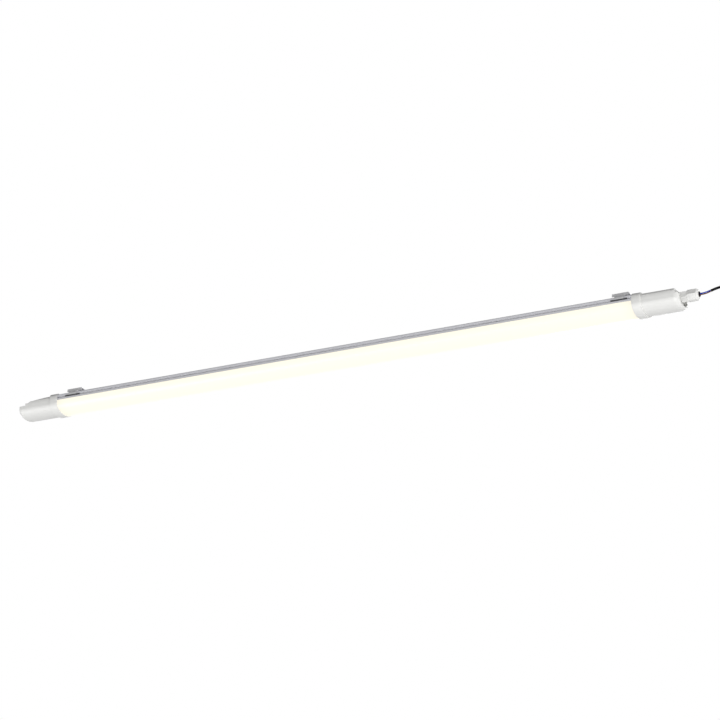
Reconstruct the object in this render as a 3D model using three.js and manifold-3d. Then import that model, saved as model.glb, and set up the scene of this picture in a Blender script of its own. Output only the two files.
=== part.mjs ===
// A slim damp-proof light that hangs under a cabinet on two spring clips.
// Millimetres. +X runs along the light to its lead, -Y is the near side and +Z is up.
// The origin is in the cabinet's underside, half way between the two end caps.

import * as THREE from 'three';
import * as BufferGeometryUtils from 'three/addons/utils/BufferGeometryUtils.js';
import Module from 'manifold-3d';

const wasm = await Module();
wasm.setup();

// Section of the light. Rises are measured up from its widest line.
const halfWidth = 26;
const bellyDepth = 14.3;
const shoulderRise = 4.9;
const roofRise = 16.4;
const roofInset = 1;
const roofCornerRadius = 6;
const leastCornerRadius = 0.5;
const bellyRoundness = 2;

// Lengths along the light.
const overallLength = 1204;
const collarLength = 15;
const capLength = 63.5;
const housingInCollar = 11.5;

// How far the light hangs below the cabinet, and shared fits.
const clipRise = 7.1;
const fit = 0.3;
const overrun = 2;
const widestHeight = -(clipRise + roofRise);

// Housing and diffuser walls, and the joint between the two.
const housingWall = 1.8;
const diffuserWall = 1.8;
const lipWall = 1.2;
const lipHeight = 2.2;
const outerLegWall = 1.2;
const innerLegWall = 1.4;
const ledgeDepth = 2.7;
const ledgeThickness = 1.5;
const lipFootDepth = 2;
const grooveHeight = 2;
const grooveDepth = 1.6;
const grooveBelowRoof = 6.2;

// Tray that carries the lamps and the driver.
const trayWall = 1;
const trayHalfWidth = 17;
const trayRise = 1.5;
const trayPastHousing = 34;
const trayEndGap = 12;

// Lamp boards.
const boardCount = 4;
const boardWidth = 18;
const boardThickness = 1.6;
const boardSpacing = 3;
const boardEndMargin = 10;
const lampsPerBoard = 20;
const lampLength = 3;
const lampWidth = 2.8;
const lampHeight = 0.7;
const lampSink = 0.2;
const linkLength = 13;
const linkWidth = 6;
const linkHeight = 1.6;
const linkAside = 5;

// Driver.
const driverLength = 150;
const driverWidth = 30;
const driverHeight = 11.2;
const driverWall = 1.2;
const driverLidThickness = 1;
const driverEarLength = 9;
const driverEarThickness = 1.5;
const driverFromEnd = 60;
const driverBoardThickness = 1.6;
const driverBoardRise = 1.5;
const driverPostRadius = 2;
const driverWireHoleRadius = 2.2;
const coilBlockSize = [18, 15, 4.8];
const capacitorRadius = 2.2;
const capacitorLength = 16;
const chokeSize = [9, 9, 4.2];

// Small pan-head screws on the driver and on the end caps.
const screwHeadRadius = 2.6;
const screwHeadHeight = 1.4;
const screwShankRadius = 1.4;
const screwHoleRadius = 1.7;
const driverScrewLength = 3.2;
const capScrewLength = 3.6;
const screwSlotWidth = 0.8;
const screwSlotDepth = 0.6;

// Terminal block with one press button for each core.
const terminalLength = 24;
const terminalWidth = 18;
const terminalHeight = 6.8;
const terminalFromTrayEnd = 3;
const terminalPoleSpacing = 8;
const terminalEntryRadius = 1.3;
const terminalEntryDepth = 5;
const terminalEntryRise = 2.4;
const buttonLength = 5;
const buttonWidth = 4;
const buttonHeight = 2.6;
const buttonProud = 1.2;
const buttonTravel = 0.8;
const contactLength = 8;
const contactWidth = 4;
const contactThickness = 0.8;

// End caps.
const collarProud = 1.3;
const capInset = 0.6;
const capWall = 2.2;
const pocketDepth = 13.3;
const gasketWall = 2.6;
const gasketThickness = 1.2;
const endWallThickness = 2.5;
const capRoofDrop = 0.8;
const leadSkirtRise = 7.3;
const blindSkirtRise = 4.7;
const skirtCornerRadius = 2.5;
const leadEndShort = 2;
const leadEndRound = 9;
const leadEndScale = 0.64;
const blindEndRound = 6.5;
const blindEndScale = 0.76;
const leadRoofShort = 8.4;
const blindRoofShort = 23.5;
const blindRoofSlope = 4.2;
const blindRampLength = 4;
const blindLedgeShort = 14;
const blindLedgeDrop = 2.3;
const capScrewAside = 14;
const capScrewFromEdge = 6;

// Cable gland.
const glandRise = 6.3;
const glandThreadRadius = 5.9;
const glandThreadLength = 7.5;
const glandBossLength = 8;
const glandBossWall = 2;
const glandHexAcross = 17;
const glandHexLength = 12.6;
const glandBoreRadius = 4.4;
const glandStubRadius = 6.9;
const glandStubBoreRadius = 5.7;
const glandStubLength = 10;
const washerThickness = 1.2;
const washerRadius = 8;
const nutAcross = 17.4;
const nutLength = 18;
const nutSkirtLength = 11;
const nutDomeLength = 4;
const nutMouthRadius = 4.2;
const nutFaceRadius = 6;
const nutLipLength = 2.2;
const hexTurn = 22;
const nutTurn = 2;
const clawRadius = 5.3;
const clawWall = 0.7;
const clawLength = 16;
const clawSlots = 6;
const clawSlotWidth = 1;
const clawSlotLength = 9;
const sealRadius = 4.3;
const sealNoseRadius = 3.8;
const sealNoseProud = 1.5;
const sealInset = 2;

// Spring clips.
const clipLength = 27.5;
const clipHalfWidth = 19.5;
const clipSheet = 1;
const clipWebHeight = 5.7;
const clipWebFlare = 0.8;
const clipWaist = 1.5;
const clipLipHeight = 2.2;
const clipTongueWidth = 16;
const blindClipFromCollar = 29.8;
const leadClipFromCollar = 20.7;
const clipSlotLength = 12;
const clipSlotWidth = 5;
const clipBend = 1.5;

// Wires and the lead.
const coreRadius = 0.9;
const coreSpread = 1;
const thinWireRadius = 0.8;
const sheathRadius = 2;
const sheathSides = 8;
const coreSides = 8;
const wireSides = 6;
const coilTurns = 5;
const coilStepsPerTurn = 24;
const coilSides = 6;
const coilPitch = 4.9;
const coilOuterRadius = 28.1;
const tieWall = 1.2;
const tieWidth = 4;
const tieGap = 0.5;
const tailLength = 26;
const tailSplay = 3.2;
const ferruleLength = 8;
const ferruleRadius = 1.4;

// Places along the light that several pieces share.
const halfLength = overallLength / 2;
const collarOuter = halfLength - capLength;
const collarInner = collarOuter - collarLength;
const housingEnd = collarInner + housingInCollar;
const gasketStart = housingEnd + fit;
const pocketEnd = collarInner + pocketDepth;
const leadWallOuter = halfLength - leadRoofShort;
const leadWallInner = leadWallOuter - endWallThickness;
const trayTop = widestHeight + trayRise + trayWall;
const trayEnd = housingEnd + trayPastHousing;
const roofHeight = widestHeight + roofRise;
const roofUnderside = roofHeight - housingWall;
const glandHeight = widestHeight + glandRise;
const washerStart = leadWallOuter + fit;
const glandHexStart = washerStart + washerThickness + fit;
const glandHexEnd = glandHexStart + glandHexLength;
const nutStart = glandHexEnd + fit;
const nutEnd = nutStart + nutLength;
const sealEnd = nutEnd + sealNoseProud;

// Route of the lead from its sheath's mouth to the coil: x, y and z from the middle of the seal's nose.
const routeFromSeal = [
  [17.9, 0, 2.6], [24.7, 0, 4.4], [31.4, 0, 5.6], [41.2, 0, 6.7], [52.2, 0, 7.1],
  [63.2, 0, 6], [73.2, -0.2, 3.3], [82.7, -0.6, -1.4], [90.7, -1.2, -8],
  [96.9, -1.8, -16.2], [100.9, -2.2, -25.4], [103.1, -2.4, -34.7], [103.7, -2.45, -44.2],
];
const leadRoute = routeFromSeal.map(([x, y, z]) => [sealEnd + x, y, glandHeight + z]);
const routeEnd = new THREE.Vector3(...leadRoute.at(-1));
const coilCentre = new THREE.Vector3(
  routeEnd.x - coilOuterRadius, 0, routeEnd.z - 2 * sheathRadius - fit);

// Colours with roughness and metalness, one for each material.
const finishes = {
  housing: [0xb8b7bd, 0.5, 0.1],
  diffuser: [0xfffff2, 0.4, 0],
  cap: [0xe6e6e4, 0.45, 0],
  steel: [0xb4b6b8, 0.3, 0.9],
  rubber: [0x1c1c1e, 0.8, 0],
  tray: [0xe9ebec, 0.4, 0.4],
  board: [0xf4f4ef, 0.5, 0.1],
  driver: [0xeeeeec, 0.5, 0],
  circuit: [0x2f6d3d, 0.6, 0],
  terminal: [0xd9dadb, 0.5, 0],
  button: [0xe8742a, 0.5, 0],
  brass: [0xc9a24b, 0.35, 0.8],
  blue: [0x2456c8, 0.5, 0],
  brown: [0x7a4a33, 0.5, 0],
  red: [0xb3261e, 0.5, 0],
  black: [0x101113, 0.6, 0],
  tin: [0xc8cacc, 0.35, 0.9],
};

const light = new THREE.Group();

// Adds one named piece to the light.
function addPiece(name, geometry, finish) {
  const [color, roughness, metalness] = finishes[finish];
  const material = new THREE.MeshStandardMaterial({ color, roughness, metalness });
  const mesh = new THREE.Mesh(geometry, material);
  mesh.name = name;
  light.add(mesh);
}

// Closed triangles of a geometry, with shared corners merged and flat triangles dropped.
function closedMesh(geometry) {
  const bare = geometry.clone();
  bare.deleteAttribute('normal');
  bare.deleteAttribute('uv');
  const merged = BufferGeometryUtils.mergeVertices(bare);
  const corners = [];
  for (let i = 0; i < merged.index.count; i += 3) {
    const [a, b, c] = [0, 1, 2].map((k) => merged.index.getX(i + k));
    if (a !== b && b !== c && c !== a) corners.push(a, b, c);
  }
  merged.setIndex(corners);
  return merged;
}

function solidOf(geometry) {
  const merged = closedMesh(geometry);
  return new wasm.Manifold(new wasm.Mesh({
    numProp: 3,
    vertProperties: new Float32Array(merged.attributes.position.array),
    triVerts: new Uint32Array(merged.index.array),
  }));
}

function geometryOf(solid) {
  const mesh = solid.getMesh();
  const geometry = new THREE.BufferGeometry();
  geometry.setAttribute('position', new THREE.BufferAttribute(mesh.vertProperties, 3));
  geometry.setIndex(new THREE.BufferAttribute(mesh.triVerts, 1));
  return geometry;
}

// Joins the first list of geometries and cuts the second from them.
function carve(joined, cuts = []) {
  let solid = joined.map(solidOf).reduce((whole, next) => whole.add(next));
  for (const cut of cuts) solid = solid.subtract(solidOf(cut));
  return geometryOf(solid);
}

function shapeOf(points, holes = []) {
  const shape = new THREE.Shape(points.map(([a, b]) => new THREE.Vector2(a, b)));
  for (const hole of holes) {
    shape.holes.push(new THREE.Path(hole.map(([a, b]) => new THREE.Vector2(a, b))));
  }
  return shape;
}

// A section in Y and Z, drawn out along X between two places.
function alongX(shape, from, to) {
  const depth = Math.abs(to - from);
  const geometry = new THREE.ExtrudeGeometry(shape, { depth, bevelEnabled: false });
  const turn = new THREE.Matrix4().makeBasis(
    new THREE.Vector3(0, 1, 0), new THREE.Vector3(0, 0, 1), new THREE.Vector3(1, 0, 0));
  return geometry.applyMatrix4(turn).translate(Math.min(from, to), 0, 0);
}

// A side view in X and Z, drawn out across Y.
function acrossY(shape, halfDepth) {
  const geometry = new THREE.ExtrudeGeometry(shape, { depth: 2 * halfDepth, bevelEnabled: false });
  const turn = new THREE.Matrix4().makeBasis(
    new THREE.Vector3(1, 0, 0), new THREE.Vector3(0, 0, 1), new THREE.Vector3(0, -1, 0));
  return geometry.applyMatrix4(turn).translate(0, halfDepth, 0);
}

// A plan view in X and Y, drawn up along Z.
function alongZ(shape, from, to) {
  const geometry = new THREE.ExtrudeGeometry(shape, { depth: to - from, bevelEnabled: false });
  return geometry.translate(0, 0, from);
}

// A block between two corners.
function block(low, high) {
  const size = high.map((value, axis) => value - low[axis]);
  const middle = high.map((value, axis) => (value + low[axis]) / 2);
  return new THREE.BoxGeometry(...size).translate(...middle);
}

// A profile of radius and place, turned about a line along X at the given height.
function turned(profile, sides, height) {
  const points = profile.map(([radius, place]) => new THREE.Vector2(radius, place));
  const geometry = new THREE.LatheGeometry(points, sides);
  return geometry.rotateZ(-Math.PI / 2).translate(0, 0, height);
}

// A ring between two radii and two places along X.
function ring(inner, outer, from, to, sides, height) {
  const profile = [[inner, from], [outer, from], [outer, to], [inner, to], [inner, from]];
  return turned(profile, sides, height);
}

function rod(radius, from, to, sides, height) {
  return turned([[0, from], [radius, from], [radius, to], [0, to]], sides, height);
}

// A hexagonal bar along X, with one corner turned down from the near side by an angle in degrees.
function hexBar(across, turn, from, to, height) {
  const corner = across / 2 / Math.cos(Math.PI / 6);
  const start = Math.PI + THREE.MathUtils.degToRad(turn);
  const points = [0, 1, 2, 3, 4, 5].map((k) => {
    const angle = start + k * Math.PI / 3;
    return [corner * Math.cos(angle), height + corner * Math.sin(angle)];
  });
  return alongX(shapeOf(points), from, to);
}

function circleShape(radius, sides) {
  const points = [];
  for (let k = 0; k < sides; k += 1) {
    const angle = 2 * Math.PI * k / sides;
    points.push([radius * Math.cos(angle), radius * Math.sin(angle)]);
  }
  return shapeOf(points);
}

// A round wire through a list of points.
function wire(points, radius, sides, steps) {
  const path = new THREE.CatmullRomCurve3(points.map((p) => new THREE.Vector3(...p)), false, 'centripetal');
  const options = { steps, extrudePath: path, bevelEnabled: false };
  return new THREE.ExtrudeGeometry(circleShape(radius, sides), options);
}

// Half width of the light's side at a rise above the widest line.
function sideHalfWidth(rise) {
  return halfWidth - roofInset * (rise / roofRise) ** 2;
}

// Points down one side from a rise, round the belly and up to the same rise on the other side.
function lowerOutline(grow, topRise) {
  const sideSteps = 4;
  const bellySteps = 30;
  const right = [];
  for (let k = 0; k < sideSteps; k += 1) {
    const rise = topRise * (1 - k / sideSteps);
    right.push([sideHalfWidth(rise) + grow, widestHeight + rise]);
  }
  const belly = [];
  for (let k = 0; k <= bellySteps; k += 1) {
    const angle = Math.PI * k / bellySteps;
    const c = Math.cos(angle);
    const s = Math.sin(angle);
    const across = (halfWidth + grow) * Math.sign(c) * Math.abs(c) ** (2 / bellyRoundness);
    const down = (bellyDepth + grow) * Math.abs(s) ** (2 / bellyRoundness);
    belly.push([across, widestHeight - down]);
  }
  const left = right.map(([y, z]) => [-y, z]).reverse();
  return [...right, ...belly, ...left];
}

// Roof corner on the right, from the side over to the roof, for an outline grown by a wall.
function roofCorner(grow, drop) {
  const radius = Math.max(roofCornerRadius + grow, leastCornerRadius);
  const cornerSteps = 6;
  const centreY = sideHalfWidth(roofRise - drop - roofCornerRadius) + grow - radius;
  const centreZ = roofHeight - drop + grow - radius;
  const points = [];
  for (let k = 0; k <= cornerSteps; k += 1) {
    const angle = Math.PI / 2 * k / cornerSteps;
    points.push([centreY + radius * Math.cos(angle), centreZ + radius * Math.sin(angle)]);
  }
  return points;
}

// The whole outline of the light, grown or shrunk by a distance, with its roof dropped by another.
function fullOutline(grow, drop = 0) {
  const corner = roofCorner(grow, drop).slice(1);
  const mirrored = corner.map(([y, z]) => [-y, z]).reverse();
  const lower = lowerOutline(grow, roofRise - drop - roofCornerRadius);
  return [...corner, ...mirrored, ...lower.reverse()];
}

function mirrorAcross(points) {
  return [...points, ...points.map(([y, z]) => [-y, z]).reverse()];
}

// Grey back of the light: a trough with clip grooves outside, and legs and ledges inside.
function addHousing() {
  const at = (rise) => widestHeight + rise;
  const grooveTop = roofRise - grooveBelowRoof;
  const grooveFloor = grooveTop - grooveHeight;
  const side = sideHalfWidth(shoulderRise);
  const slotOuter = side - outerLegWall;
  const slotInner = slotOuter - lipWall - 2 * fit;
  const legInner = slotInner - innerLegWall;
  const slotTop = shoulderRise + lipHeight + fit;
  const underRoof = roofRise - housingWall;
  const innerChamfer = roofCornerRadius / 2;
  const half = [
    [0, at(underRoof)], [legInner - innerChamfer, at(underRoof)],
    [legInner, at(underRoof - innerChamfer)],
    [legInner, at(shoulderRise + ledgeThickness)],
    [legInner - ledgeDepth, at(shoulderRise + ledgeThickness)],
    [legInner - ledgeDepth, at(shoulderRise)], [slotInner, at(shoulderRise)],
    [slotInner, at(slotTop)], [slotOuter, at(slotTop)], [slotOuter, at(shoulderRise)],
    [side, at(shoulderRise)], [sideHalfWidth(grooveFloor), at(grooveFloor)],
    [sideHalfWidth(grooveFloor) - grooveDepth, at(grooveFloor)],
    [sideHalfWidth(grooveTop) - grooveDepth, at(grooveTop)],
    [sideHalfWidth(grooveTop), at(grooveTop)], ...roofCorner(0, 0).slice(1),
  ];
  const outline = mirrorAcross(half).filter(([y], i, all) => i < all.length - 1 || y !== 0);
  const screwHoles = [-1, 1].flatMap((end) => capScrewPlaces(end)).map(([x, y]) => {
    const hole = circleShape(screwHoleRadius, 12);
    const from = roofUnderside - overrun;
    return alongZ(hole, from, roofHeight + overrun).translate(x, y, 0);
  });
  addPiece('housing', carve([alongX(shapeOf(outline), -housingEnd, housingEnd)], screwHoles), 'housing');
}

// Opal shell under the lamps, with a lip on each side that stands in the housing's slot.
function addDiffuser() {
  const top = shoulderRise - fit;
  const side = sideHalfWidth(shoulderRise);
  const lipOuter = side - outerLegWall - fit;
  const lipInner = lipOuter - lipWall;
  const lipTop = widestHeight + shoulderRise + lipHeight;
  const footRise = shoulderRise - lipFootDepth;
  const lips = [
    [-lipOuter, widestHeight + top], [-lipOuter, lipTop], [-lipInner, lipTop],
    [-lipInner, widestHeight + footRise],
  ];
  const inner = lowerOutline(-diffuserWall, footRise - (side - diffuserWall - lipInner)).reverse();
  const outline = [
    ...lowerOutline(0, top), ...lips, ...inner, ...lips.map(([y, z]) => [-y, z]).reverse(),
  ];
  addPiece('diffuser', alongX(shapeOf(outline), -housingEnd, housingEnd), 'diffuser');
}

// Folded tray that rests on the housing's ledges and reaches into the right cap.
function addTray() {
  const legInner = sideHalfWidth(shoulderRise) - outerLegWall - lipWall - 2 * fit - innerLegWall;
  const rimHeight = widestHeight + shoulderRise + ledgeThickness + fit;
  const rimOuter = legInner - fit;
  const low = widestHeight + trayRise;
  const half = [
    [0, low], [trayHalfWidth, low], [trayHalfWidth, rimHeight], [rimOuter, rimHeight],
    [rimOuter, rimHeight + trayWall], [trayHalfWidth - trayWall, rimHeight + trayWall],
    [trayHalfWidth - trayWall, low + trayWall], [0, low + trayWall],
  ];
  const mirrored = half.slice(1, -1).map(([y, z]) => [-y, z]).reverse();
  const holes = driverScrewPlaces().map((x) => {
    const hole = circleShape(screwShankRadius + fit, 12);
    return alongZ(hole, low - overrun, trayTop + overrun).translate(x, 0, 0);
  });
  const start = -housingEnd + trayEndGap;
  addPiece('gear_tray', carve([alongX(shapeOf([...half, ...mirrored]), start, trayEnd)], holes), 'tray');
}

// Four lamp boards in a row under the tray, joined by three links.
function addBoards() {
  const room = 2 * (housingEnd - boardEndMargin) - (boardCount - 1) * boardSpacing;
  const length = room / boardCount;
  const top = widestHeight + trayRise - fit;
  const bottom = top - boardThickness;
  for (let n = 0; n < boardCount; n += 1) {
    const start = -housingEnd + boardEndMargin + n * (length + boardSpacing);
    const pieces = [block([start, -boardWidth / 2, bottom], [start + length, boardWidth / 2, top])];
    for (let k = 0; k < lampsPerBoard; k += 1) {
      const x = start + length * (k + 1 / 2) / lampsPerBoard;
      pieces.push(block([x - lampLength / 2, -lampWidth / 2, bottom - lampHeight],
        [x + lampLength / 2, lampWidth / 2, bottom + lampSink]));
    }
    addPiece(`lamp_board_${n + 1}`, carve(pieces), 'board');
    if (n > 0) {
      const middle = start - boardSpacing / 2;
      addPiece(`board_link_${n}`, block(
        [middle - linkLength / 2, linkAside, bottom - fit - linkHeight],
        [middle + linkLength / 2, linkAside + linkWidth / 2, bottom - fit]), 'terminal');
    }
  }
}

function driverPlace() {
  const end = housingEnd - driverFromEnd;
  return [end - driverLength, end];
}

function driverScrewPlaces() {
  const [start, end] = driverPlace();
  return [start - driverEarLength / 2, end + driverEarLength / 2];
}

// A pan-head screw standing on Z, with its head's underside at the given height.
function screw(x, y, seat, length) {
  const head = alongZ(circleShape(screwHeadRadius, 16), seat, seat + screwHeadHeight);
  const shank = alongZ(circleShape(screwShankRadius, 12), seat - length, seat + screwSlotDepth);
  const slotFloor = seat + screwHeadHeight - screwSlotDepth;
  const slot = block([-screwHeadRadius - overrun, -screwSlotWidth / 2, slotFloor],
    [screwHeadRadius + overrun, screwSlotWidth / 2, slotFloor + overrun]);
  return carve([head, shank], [slot]).translate(x, y, 0);
}

// Driver: a case with ears, the circuit board on four posts, a lid, and two screws.
function addDriver() {
  const [start, end] = driverPlace();
  const floor = trayTop + fit;
  const rim = floor + driverHeight - driverLidThickness - fit;
  const halfDepth = driverWidth / 2;
  const inside = driverWall;
  const postTop = floor + inside + driverBoardRise;
  const postAside = halfDepth - 2 * driverPostRadius;
  const postInset = 3 * driverPostRadius;
  const posts = [start + postInset, end - postInset].flatMap((x) => [-1, 1].map((s) => alongZ(
    circleShape(driverPostRadius, 10), floor + inside / 2, postTop).translate(x, s * postAside, 0)));
  const ears = [[start - driverEarLength, start + inside / 2], [end - inside / 2, end + driverEarLength]]
    .map(([a, b]) => block([a, -halfDepth / 2, floor], [b, halfDepth / 2, floor + driverEarThickness]));
  const hollow = block([start + inside, -halfDepth + inside, floor + inside],
    [end - inside, halfDepth - inside, rim + overrun]);
  const wireHeight = driverWireHeight();
  const wireHoles = [-1, 1].map((side) => rod(driverWireHoleRadius, end - inside - overrun,
    end + overrun, 10, wireHeight).translate(0, side * terminalPoleSpacing / 2, 0));
  const outputHole = rod(driverWireHoleRadius, start - overrun, start + inside + overrun, 10, wireHeight);
  const earTop = floor + driverEarThickness;
  const screwHoles = driverScrewPlaces().map((x) => alongZ(
    circleShape(screwHoleRadius, 12), floor - overrun, earTop + overrun).translate(x, 0, 0));
  const box = block([start, -halfDepth, floor], [end, halfDepth, rim]);
  const emptyBox = carve([box], [hollow, ...wireHoles, outputHole]);
  addPiece('driver_case', carve([emptyBox, ...posts, ...ears], screwHoles), 'driver');
  addPiece('driver_lid', block([start, -halfDepth, rim + fit],
    [end, halfDepth, rim + fit + driverLidThickness]), 'driver');

  const boardLow = postTop + fit;
  const boardTop = boardLow + driverBoardThickness;
  const middle = (start + end) / 2;
  const clear = driverWall + 2 * fit;
  const circuit = [
    block([start + clear + terminalEntryDepth, -halfDepth + clear, boardLow],
      [end - clear - terminalEntryDepth, halfDepth - clear, boardTop]),
    block([middle - coilBlockSize[0] / 2, -coilBlockSize[1] / 2, boardTop - lampSink],
      [middle + coilBlockSize[0] / 2, coilBlockSize[1] / 2, boardTop + coilBlockSize[2] - 2 * lampSink]),
    block([end - postInset - 2 * chokeSize[0], -chokeSize[1] / 2, boardTop - lampSink],
      [end - postInset - chokeSize[0], chokeSize[1] / 2, boardTop + chokeSize[2]]),
    rod(capacitorRadius, start + 3 * postInset, start + 3 * postInset + capacitorLength, 14,
      boardTop + capacitorRadius - lampSink),
  ];
  addPiece('driver_board', carve(circuit), 'circuit');
  driverScrewPlaces().forEach((x, n) => {
    const seat = floor + driverEarThickness + fit;
    addPiece(`driver_screw_${n + 1}`, screw(x, 0, seat, driverScrewLength), 'steel');
  });
}

function terminalPlace() {
  const end = trayEnd - terminalFromTrayEnd;
  return [end - terminalLength, end];
}

function terminalEntryHeight() {
  return trayTop + fit + terminalEntryRise;
}

function driverWireHeight() {
  return trayTop + fit + driverHeight / 2 + 2 * fit;
}

// Terminal block on the tray's end, with its contacts and press buttons.
function addTerminal() {
  const [start, end] = terminalPlace();
  const floor = trayTop + fit;
  const top = floor + terminalHeight;
  const middle = (start + end) / 2;
  const entryHeight = terminalEntryHeight();
  const poles = [['live', 1], ['neutral', -1]];
  const cuts = poles.flatMap(([, side]) => {
    const y = side * terminalPoleSpacing / 2;
    const depths = [
      [start - overrun, start + terminalEntryDepth], [end - terminalEntryDepth, end + overrun]];
    const entries = depths
      .map(([a, b]) => rod(terminalEntryRadius, a, b, 10, entryHeight).translate(0, y, 0));
    const wellFloor = top - buttonHeight + buttonProud - buttonTravel - 2 * fit;
    const well = block(
      [middle - buttonLength / 2 - fit, y - buttonWidth / 2 - fit, wellFloor],
      [middle + buttonLength / 2 + fit, y + buttonWidth / 2 + fit, top + overrun]);
    const contactSeat = block(
      [middle - contactLength / 2 - fit, y - contactWidth / 2 - fit, floor - overrun],
      [middle + contactLength / 2 + fit, y + contactWidth / 2 + fit, floor + contactThickness + fit]);
    return [...entries, well, contactSeat];
  });
  const body = block([start, -terminalWidth / 2, floor], [end, terminalWidth / 2, top]);
  addPiece('terminal_block', carve([body], cuts), 'terminal');
  for (const [pole, side] of poles) {
    const y = side * terminalPoleSpacing / 2;
    addPiece(`terminal_contact_${pole}`, block(
      [middle - contactLength / 2, y - contactWidth / 2, floor],
      [middle + contactLength / 2, y + contactWidth / 2, floor + contactThickness]), 'brass');
    addPiece(`terminal_button_${pole}`, block(
      [middle - buttonLength / 2, y - buttonWidth / 2, top - buttonHeight + buttonProud],
      [middle + buttonLength / 2, y + buttonWidth / 2, top + buttonProud]), 'button');
  }
}

// Wires inside the light, from the terminal block to the driver and on to the first board.
function addInnerWires() {
  const [driverStart, driverEnd] = driverPlace();
  const [terminalStart] = terminalPlace();
  const entryHeight = terminalEntryHeight();
  const driverHeightThere = driverWireHeight();
  const floor = trayTop + thinWireRadius + 2 * fit;
  const dive = 5 * thinWireRadius;
  for (const [colour, side] of [['blue', -1], ['brown', 1]]) {
    const y = side * terminalPoleSpacing / 2;
    const points = [
      [driverEnd - driverWall - dive / 2, y, driverHeightThere],
      [driverEnd + dive / 2, y, driverHeightThere],
      [driverEnd + 3 * dive, y + side * dive / 2, floor + dive / 4],
      [terminalStart - 4 * dive, y + side * dive / 2, floor], [terminalStart - dive, y, entryHeight],
      [terminalStart + terminalEntryDepth - fit, y, entryHeight],
    ];
    addPiece(`driver_input_${colour}`, wire(points, thinWireRadius, wireSides, 24), colour);
  }
  const trayStart = -housingEnd + trayEndGap;
  for (const [colour, side] of [['red', 1], ['black', -1]]) {
    const y = side * (thinWireRadius + fit / 2);
    const aside = side * (boardWidth / 2 - 4 * thinWireRadius);
    const pastEar = driverStart - driverEarLength;
    const points = [
      [driverStart + dive, y, driverHeightThere], [driverStart - dive / 2, y, driverHeightThere],
      [pastEar, y, driverHeightThere], [pastEar - 2 * dive, y, floor + dive / 4],
      [pastEar - 4 * dive, 2 * y, floor], [pastEar - 8 * dive, 3 * y, floor], [0, 3 * y, floor],
      [trayStart + 8 * dive, 3 * y, floor], [trayStart + 4 * dive, 3 * y, floor],
      [trayStart - dive / 4, aside / 2, floor - fit],
    ];
    addPiece(`driver_output_${colour}`, wire(points, thinWireRadius, wireSides, 36), colour);
  }
}

// Places of the two screws in a collar's roof, as x and y.
function capScrewPlaces(end) {
  const x = end * (collarInner + capScrewFromEdge);
  return [[x, -capScrewAside], [x, capScrewAside]];
}

// A closed body through rings of points that all have the same number of corners.
function loft(rings) {
  const sides = rings[0].length;
  const geometry = new THREE.BufferGeometry();
  geometry.setFromPoints(rings.flat().map((point) => new THREE.Vector3(...point)));
  const corners = [];
  for (let n = 0; n + 1 < rings.length; n += 1) {
    for (let k = 0; k < sides; k += 1) {
      const a = n * sides + k;
      const b = n * sides + (k + 1) % sides;
      corners.push(a, b, b + sides, a, b + sides, a + sides);
    }
  }
  const face = rings[0].map(([, y, z]) => new THREE.Vector2(y, z));
  const last = (rings.length - 1) * sides;
  const clockwise = THREE.ShapeUtils.isClockWise(face);
  for (const [a, second, third] of THREE.ShapeUtils.triangulateShape(face, [])) {
    const [b, c] = clockwise ? [third, second] : [second, third];
    corners.push(a, c, b, a + last, b + last, c + last);
  }
  geometry.setIndex(corners);
  return geometry;
}

// A cap's outline along X, shrunk towards the middle of its widest line over its rounded end.
function roundedEnd(end, outline, from, to, roundLength, endScale) {
  const roundSteps = 6;
  const ring = (x, scale) => outline.map(([y, z]) => [
    end * x, end * y * scale, widestHeight + (z - widestHeight) * scale]);
  const rings = [ring(from, 1)];
  for (let k = 0; k <= roundSteps; k += 1) {
    const angle = Math.PI / 2 * k / roundSteps;
    const scale = 1 - (1 - endScale) * (1 - Math.cos(angle));
    rings.push(ring(to - roundLength * (1 - Math.sin(angle)), scale));
  }
  rings.push(ring(to + overrun, endScale));
  return loft(rings);
}

// Side view of a cap that the section is cut to: roof, ledge and skirt.
function capSideView(end, endPlace, skirtRise, steps) {
  const low = widestHeight - bellyDepth;
  const skirtTop = widestHeight + skirtRise;
  const points = [[collarInner - overrun, low - 2 * collarProud], [endPlace, low - 2 * collarProud]];
  const cornerSteps = 4;
  for (let k = 0; k <= cornerSteps; k += 1) {
    const angle = Math.PI / 2 * k / cornerSteps;
    points.push([endPlace - skirtCornerRadius * (1 - Math.cos(angle)),
      skirtTop - skirtCornerRadius * (1 - Math.sin(angle))]);
  }
  points.push(...steps, [collarInner - overrun, roofHeight + 2 * collarProud]);
  return acrossY(shapeOf(points.map(([x, z]) => [end * x, z])), 2 * halfWidth);
}

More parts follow.
